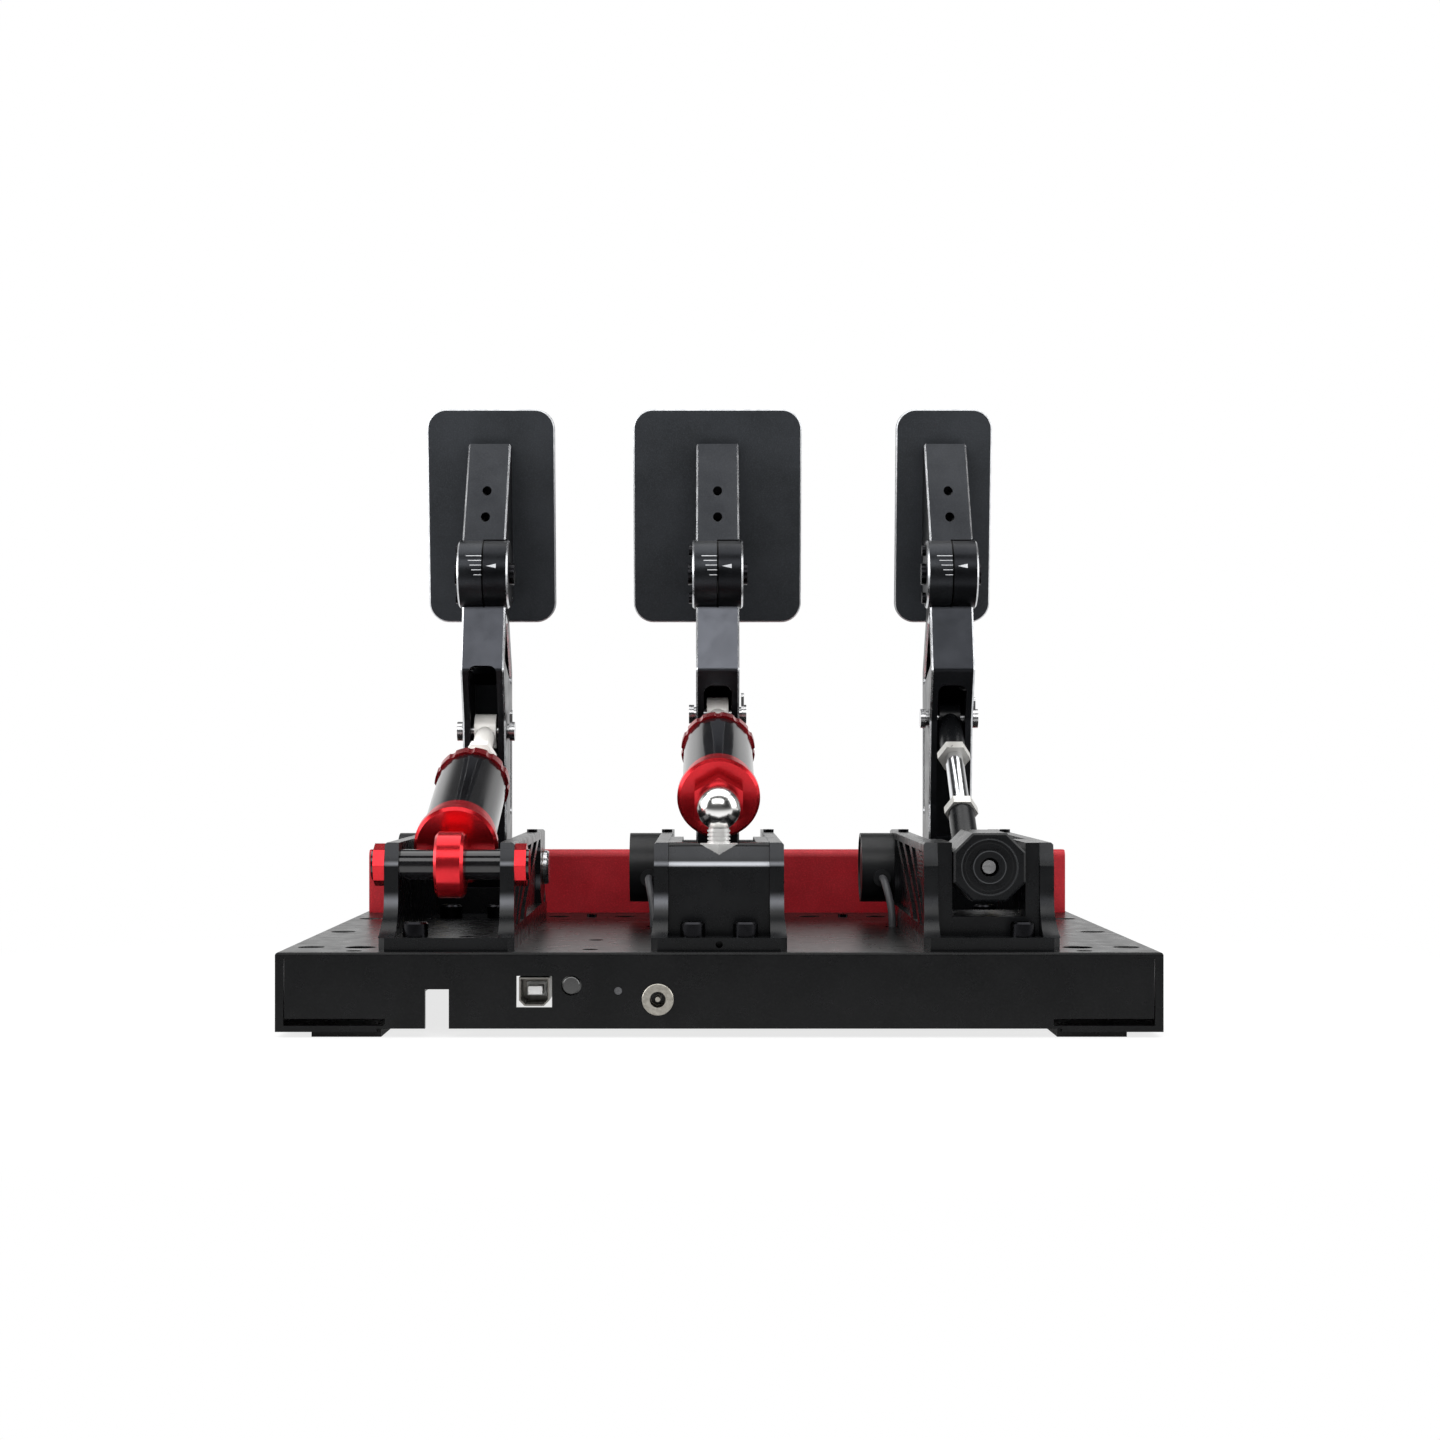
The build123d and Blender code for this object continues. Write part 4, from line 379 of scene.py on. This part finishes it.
def curved_plate(mesh, outline):
    """A thin plate that follows the knuckle; the outline gives each height's left and right x."""
    rings = []
    for height, left, right in outline:
        rings.append([mesh.verts.new(on_knuckle(x, height, away))
                      for x, away in ((left, mark_proud), (right, mark_proud),
                                      (right, -mark_depth), (left, -mark_depth))])
    for low, high in zip(rings, rings[1:]):
        for index in range(4):
            following = (index + 1) % 4
            mesh.faces.new((low[index], low[following], high[following], high[index]))
    mesh.faces.new(rings[0][::-1])
    mesh.faces.new(rings[-1])


def finish_piece(mesh, name, material, body):
    """Turn a mesh into a piece of the scene that rides on a body."""
    bmesh.ops.recalc_face_normals(mesh, faces=mesh.faces)
    data = bpy.data.meshes.new(name)
    mesh.to_mesh(data)
    mesh.free()
    piece = bpy.data.objects.new(name, data)
    piece.data.materials.append(material)
    scene.collection.objects.link(piece)
    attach(piece, body)


mark_paint = plastic_finish("mark_paint", dark=(0.42, 0.43, 0.45), light=(0.58, 0.59, 0.61),
                            rough=0.5, grain_scale=2500.0, grain_depth=0.00001)
for name, centre in pedal_places.items():
    mesh = bmesh.new()
    right = centre - mark_end
    for height, length in zip(mark_heights, mark_lengths):
        left = right - length
        curved_plate(mesh, [(height - mark_half, left, right), (height + mark_half, left, right)])
    finish_piece(mesh, name + "_scale_marks", mark_paint, name + "_pad_body")
    mesh = bmesh.new()
    tip = centre + pointer_start
    curved_plate(mesh, [(pointer_height + share * pointer_half,
                         tip + min(pointer_length * abs(share), pointer_sides),
                         tip + pointer_length) for share in (-1.0, -0.5, 0.0, 0.5, 1.0)])
    finish_piece(mesh, name + "_pointer_mark", mark_paint, name + "_pedal")


# Looks of single pieces
ball_start = 0.0808  # the height over which the stud's nut gives way to the ball
ball_full = 0.0816
# Inner and outer radius and grey of each painted highlight ring on the housing's face
housing_ring_highlights = ((0.0109, 0.0114, 0.050), (0.0094, 0.0098, 0.010), (0.0063, 0.0066, 0.055))
ring_soft = 0.00015
housing_heights = (0.0, 0.2, 0.001)  # its whole front
split_half = 0.00042
split_soft = 0.00010
split_heights = (0.1797, 0.2112, 0.0003)
jack_pin_radius = 0.0011
jack_bore_radius = 0.0030
jack_soft = 0.00012


def stud_finish():
    """A mirror-bright ball on a duller nickel-plated stud and nut."""
    material, tree, shader = begin("ball_and_stud")
    ball = spread(tree, coordinate(tree, "Z"), 0.0, 1.0, ball_start, ball_full)
    smudge = noise(tree, scale=60.0, detail=4.0)
    dull = spread(tree, noise(tree, scale=900.0, detail=2.0), 0.32, 0.42)
    roughness = add(tree, "ShaderNodeMix", inputs={0: ball, 2: dull, 3: 0.20}).outputs[0]
    feed(tree, shader, {"Base Color": blend(tree, smudge, (0.80, 0.79, 0.77), (0.90, 0.90, 0.89)),
                        "Metallic": spread(tree, ball, 0.45, 1.0, start=0.0, end=1.0),
                        "Roughness": roughness})
    return material


def housing_finish():
    """Black anodising with painted highlights along the edges of the rings turned into its face.
    """
    material = plate_finish("housing_anodised_black")
    tree = material.node_tree
    radius = radius_from(tree, middle_of("clutch_spring_housing"))
    # Painted highlight rings on the housing's front face
    for inner, outer, tint in housing_ring_highlights:
        ring = band(tree, radius, inner, outer, ring_soft)
        share = math_of(tree, "MULTIPLY", ring, front_face(tree, *housing_heights))
        lay_over(material, share, (tint, tint * 1.04, tint * 1.10))
    return material


def split_line(material):
    """A dark line where the knuckle's two halves meet, at whichever pedal is nearest."""
    tree = material.node_tree
    from_brake = math_of(tree, "ABSOLUTE", coordinate(tree, "X"))
    from_outer = math_of(tree, "ABSOLUTE",
                         math_of(tree, "SUBTRACT", from_brake, pedal_spacing))
    nearest = math_of(tree, "MINIMUM", from_brake, from_outer)
    near = band(tree, nearest, -0.001, split_half, split_soft)
    height = band(tree, coordinate(tree, "Z"), *split_heights)
    lay_over(material, math_of(tree, "MULTIPLY", near, height), (0.002, 0.002, 0.002))


def jack_finish():
    """A dark nickel ring round a black bore with a bright centre pin."""
    material, tree, shader = begin("power_jack_ring")
    radius = radius_from(tree, middle_of("power_jack"))
    bore = band(tree, radius, jack_pin_radius, jack_bore_radius, jack_soft)
    cloud = spread(tree, noise(tree, scale=700.0), 0.0, 1.0)
    worn = blend(tree, cloud, (0.36, 0.34, 0.30), (0.48, 0.46, 0.41))
    feed(tree, shader, {"Base Color": blend(tree, bore, worn, (0.008, 0.008, 0.008)),
                        "Metallic": spread(tree, bore, 1.0, 0.0, start=0.0, end=1.0),
                        "Roughness": spread(tree, noise(tree, scale=500.0, detail=2.0),
                                            0.26, 0.36)})
    return material


# Heights and softness of the painted highlights (sheens) on the brackets' plates and front block
fold_sheen_heights = (0.0690, 0.0780, 0.0024)
highlight_line_heights = (0.0670, 0.0684, 0.0007)
sweep_sheen_heights = (0.0509, 0.0541, 0.0026)
block_highlight_line_heights = (0.0668, 0.0683, 0.0006)

dress([name + "_pad_bracket" for name in pedal_places], bracket_black)
dress(["brake_ball_stud"], stud_finish())
dress(["power_jack"], jack_finish())
dress(["clutch_link_nuts"], metal_finish(
    "link_nut_nickel", dark=(0.58, 0.57, 0.54), light=(0.70, 0.69, 0.66), rough=0.34,
    streak_scale=500.0, metallic=0.6))
dress(["usb_socket"], metal_finish(
    "socket_shell_nickel", dark=(0.20, 0.19, 0.175), light=(0.28, 0.27, 0.25), rough=0.32,
    streak_scale=600.0, metallic=0.9))
# Painted highlights on the outer plates' fronts: a faint sheen near the top, a bright line below
# it, and a broad band lower down where the curved front slopes forward
dress(["throttle_side_plates", "brake_side_plates"], plate_finish("outer_plate_black", (
    (*fold_sheen_heights, (0.026, 0.0275, 0.031)),
    (*highlight_line_heights, (0.13, 0.135, 0.148)),
    (*sweep_sheen_heights, (0.16, 0.165, 0.18)))))
# Fainter painted highlights on the clutch plates' fronts
dress(["clutch_side_plates"], plate_finish("clutch_plate_black", (
    (*fold_sheen_heights, (0.016, 0.017, 0.019)),
    (*sweep_sheen_heights, (0.034, 0.035, 0.038)))))
# Painted highlights on the front block: a faint sheen near the top and a bright line across its
# front below it
dress(["brake_front_block"], plate_finish("front_block_black", (
    (*fold_sheen_heights, (0.023, 0.0245, 0.0275)),
    (*block_highlight_line_heights, (0.42, 0.43, 0.46)))))
# Each arm's tint is the painted highlight on its leaning face
dress(["brake_arm"], arm_finish("brake_arm_black", tint=(0.100, 0.105, 0.120)))
dress(["clutch_arm"], arm_finish("clutch_arm_black", tint=(0.030, 0.032, 0.037)))
dress(["clutch_spring_housing"], housing_finish())
for name in pedal_places:
    split_line(nodes[name + "_arm"].data.materials[0])
split_line(bracket_black)
dress(["throttle_cross_pin"], gloss_finish(
    "pin_gloss_black", rough=0.10, specular=0.5, coat=0.3, coat_rough=0.06))
dress(["reset_button"], plastic_finish(
    "button_plastic", dark=(0.004, 0.004, 0.004), light=(0.007, 0.007, 0.007), rough=0.10,
    grain_scale=2500.0, grain_depth=0.000006, specular=0.8, coat=0.5))
dress(["throttle_damper_ring", "brake_damper_ring"], coat_finish(
    "ring_anodised_red", dark=(0.24, 0.003, 0.007), light=(0.33, 0.006, 0.011), rough=0.26,
    grain_scale=2200.0, grain_depth=0.000008, metallic=0.8, coat=0.1, coat_rough=0.1))


# Floor and surroundings
floor_size = 14.0
shadow_reach = (0.20, 0.50)  # over these distances the floor fades to white
shadow_share = 0.78  # how far it has faded near the object
mirror_reach = (-0.80, -0.20)  # in y, where the floor dims for all rays but the camera's
mirror_dark = 0.15
fill_strength = 0.65
lamp_target = (0.0, 0.0, 0.12)


def seen_share(tree, path):
    """One for the rays that come from the camera, a mirror or a window."""
    seen = math_of(tree, "MAXIMUM", path.outputs["Is Camera Ray"], path.outputs["Is Glossy Ray"])
    return math_of(tree, "MAXIMUM", seen, path.outputs["Is Transmission Ray"])


def floor_material():
    """A pale floor that keeps the object's soft shadow and fades to the white background."""
    material, tree, shader = begin("floor_pale")
    feed(tree, shader, {"Base Color": (0.92, 0.92, 0.92, 1.0), "Roughness": 0.9,
                        "Specular IOR Level": 0.05})
    distance = vector_math(tree, "LENGTH", place_of(tree)).outputs["Value"]
    far = smooth(tree, distance, *shadow_reach, low=shadow_share)
    path = add(tree, "ShaderNodeLightPath")
    share = math_of(tree, "MULTIPLY", far, seen_share(tree, path))
    dim = smooth(tree, coordinate(tree, "Y"), *mirror_reach, low=mirror_dark)
    level = math_of(tree, "MAXIMUM", dim, path.outputs["Is Camera Ray"])
    glow = add(tree, "ShaderNodeEmission", inputs={"Color": white, "Strength": level})
    mixed = add(tree, "ShaderNodeMixShader",
                inputs={0: share, 1: shader.outputs[0], 2: glow.outputs[0]})
    feed(tree, tree.nodes["Material Output"], {"Surface": mixed.outputs[0]})
    return material


def light_world():
    """White for the camera, a ring of light for mirrors, and an even fill for the rest."""
    world = bpy.data.worlds.new("studio")
    scene.world = world
    world.use_nodes = True
    tree = world.node_tree
    tree.nodes.clear()
    path = add(tree, "ShaderNodeLightPath")
    fill = add(tree, "ShaderNodeBackground", inputs={"Color": white, "Strength": fill_strength})
    generated = add(tree, "ShaderNodeTexCoord").outputs["Generated"]
    way = add(tree, "ShaderNodeSeparateXYZ", inputs={0: generated}).outputs
    behind = smooth(tree, way["Y"], start=-0.45, end=0.10, low=0.06, high=1.0)
    above = smooth(tree, way["Z"], start=0.30, end=0.55, low=1.0, high=0.12)
    aside = smooth(tree, way["X"], start=0.10, end=0.75, low=1.0, high=0.30)
    ring = math_of(tree, "MULTIPLY", math_of(tree, "MULTIPLY", behind, above), aside)
    strength = math_of(tree, "MAXIMUM", ring, path.outputs["Is Camera Ray"])
    bright = add(tree, "ShaderNodeBackground", inputs={"Color": white, "Strength": strength})
    mixed = add(tree, "ShaderNodeMixShader",
                inputs={0: seen_share(tree, path), 1: fill.outputs[0], 2: bright.outputs[0]})
    add(tree, "ShaderNodeOutputWorld", inputs={"Surface": mixed.outputs[0]})


def soft_box(name, place, width, height, power):
    """A rectangular lamp aimed at the object."""
    lamp = bpy.data.lights.new(name, "AREA")
    lamp.shape = "RECTANGLE"
    lamp.size = width
    lamp.size_y = height
    lamp.energy = power
    holder = bpy.data.objects.new(name, lamp)
    holder.location = place
    to_object = Vector(lamp_target) - Vector(place)
    holder.rotation_euler = to_object.to_track_quat("-Z", "Y").to_euler()
    scene.collection.objects.link(holder)


bpy.ops.mesh.primitive_plane_add(size=floor_size, location=(0, 0, 0))
floor = bpy.context.object
floor.name = "floor"
floor.data.materials.append(floor_material())
light_world()

soft_box("front_high", (-0.15, -1.5, 1.25), width=2.0, height=0.80, power=13.0)
soft_box("side_left", (-1.3, -0.1, 0.7), width=0.9, height=1.2, power=12.0)
soft_box("side_right", (1.3, -0.1, 0.7), width=0.9, height=1.2, power=9.0)
soft_box("top", (0.0, 0.1, 1.6), width=2.4, height=1.4, power=24.0)

# The photo's camera: level, from behind the pedals, with the picture shifted
camera_data = bpy.data.cameras.new("photo_camera")
camera = bpy.data.objects.new("photo_camera", camera_data)
camera_data.sensor_width = 36.0
camera_data.lens = 61.9
camera_data.shift_x = 0.0076
camera_data.shift_y = 0.0257
camera.location = (-0.004, -1.110, 0.1105)
camera.rotation_euler = (math.radians(90.0), 0.0, 0.0)
scene.collection.objects.link(camera)
scene.camera = camera
scene.view_settings.view_transform = "Standard"
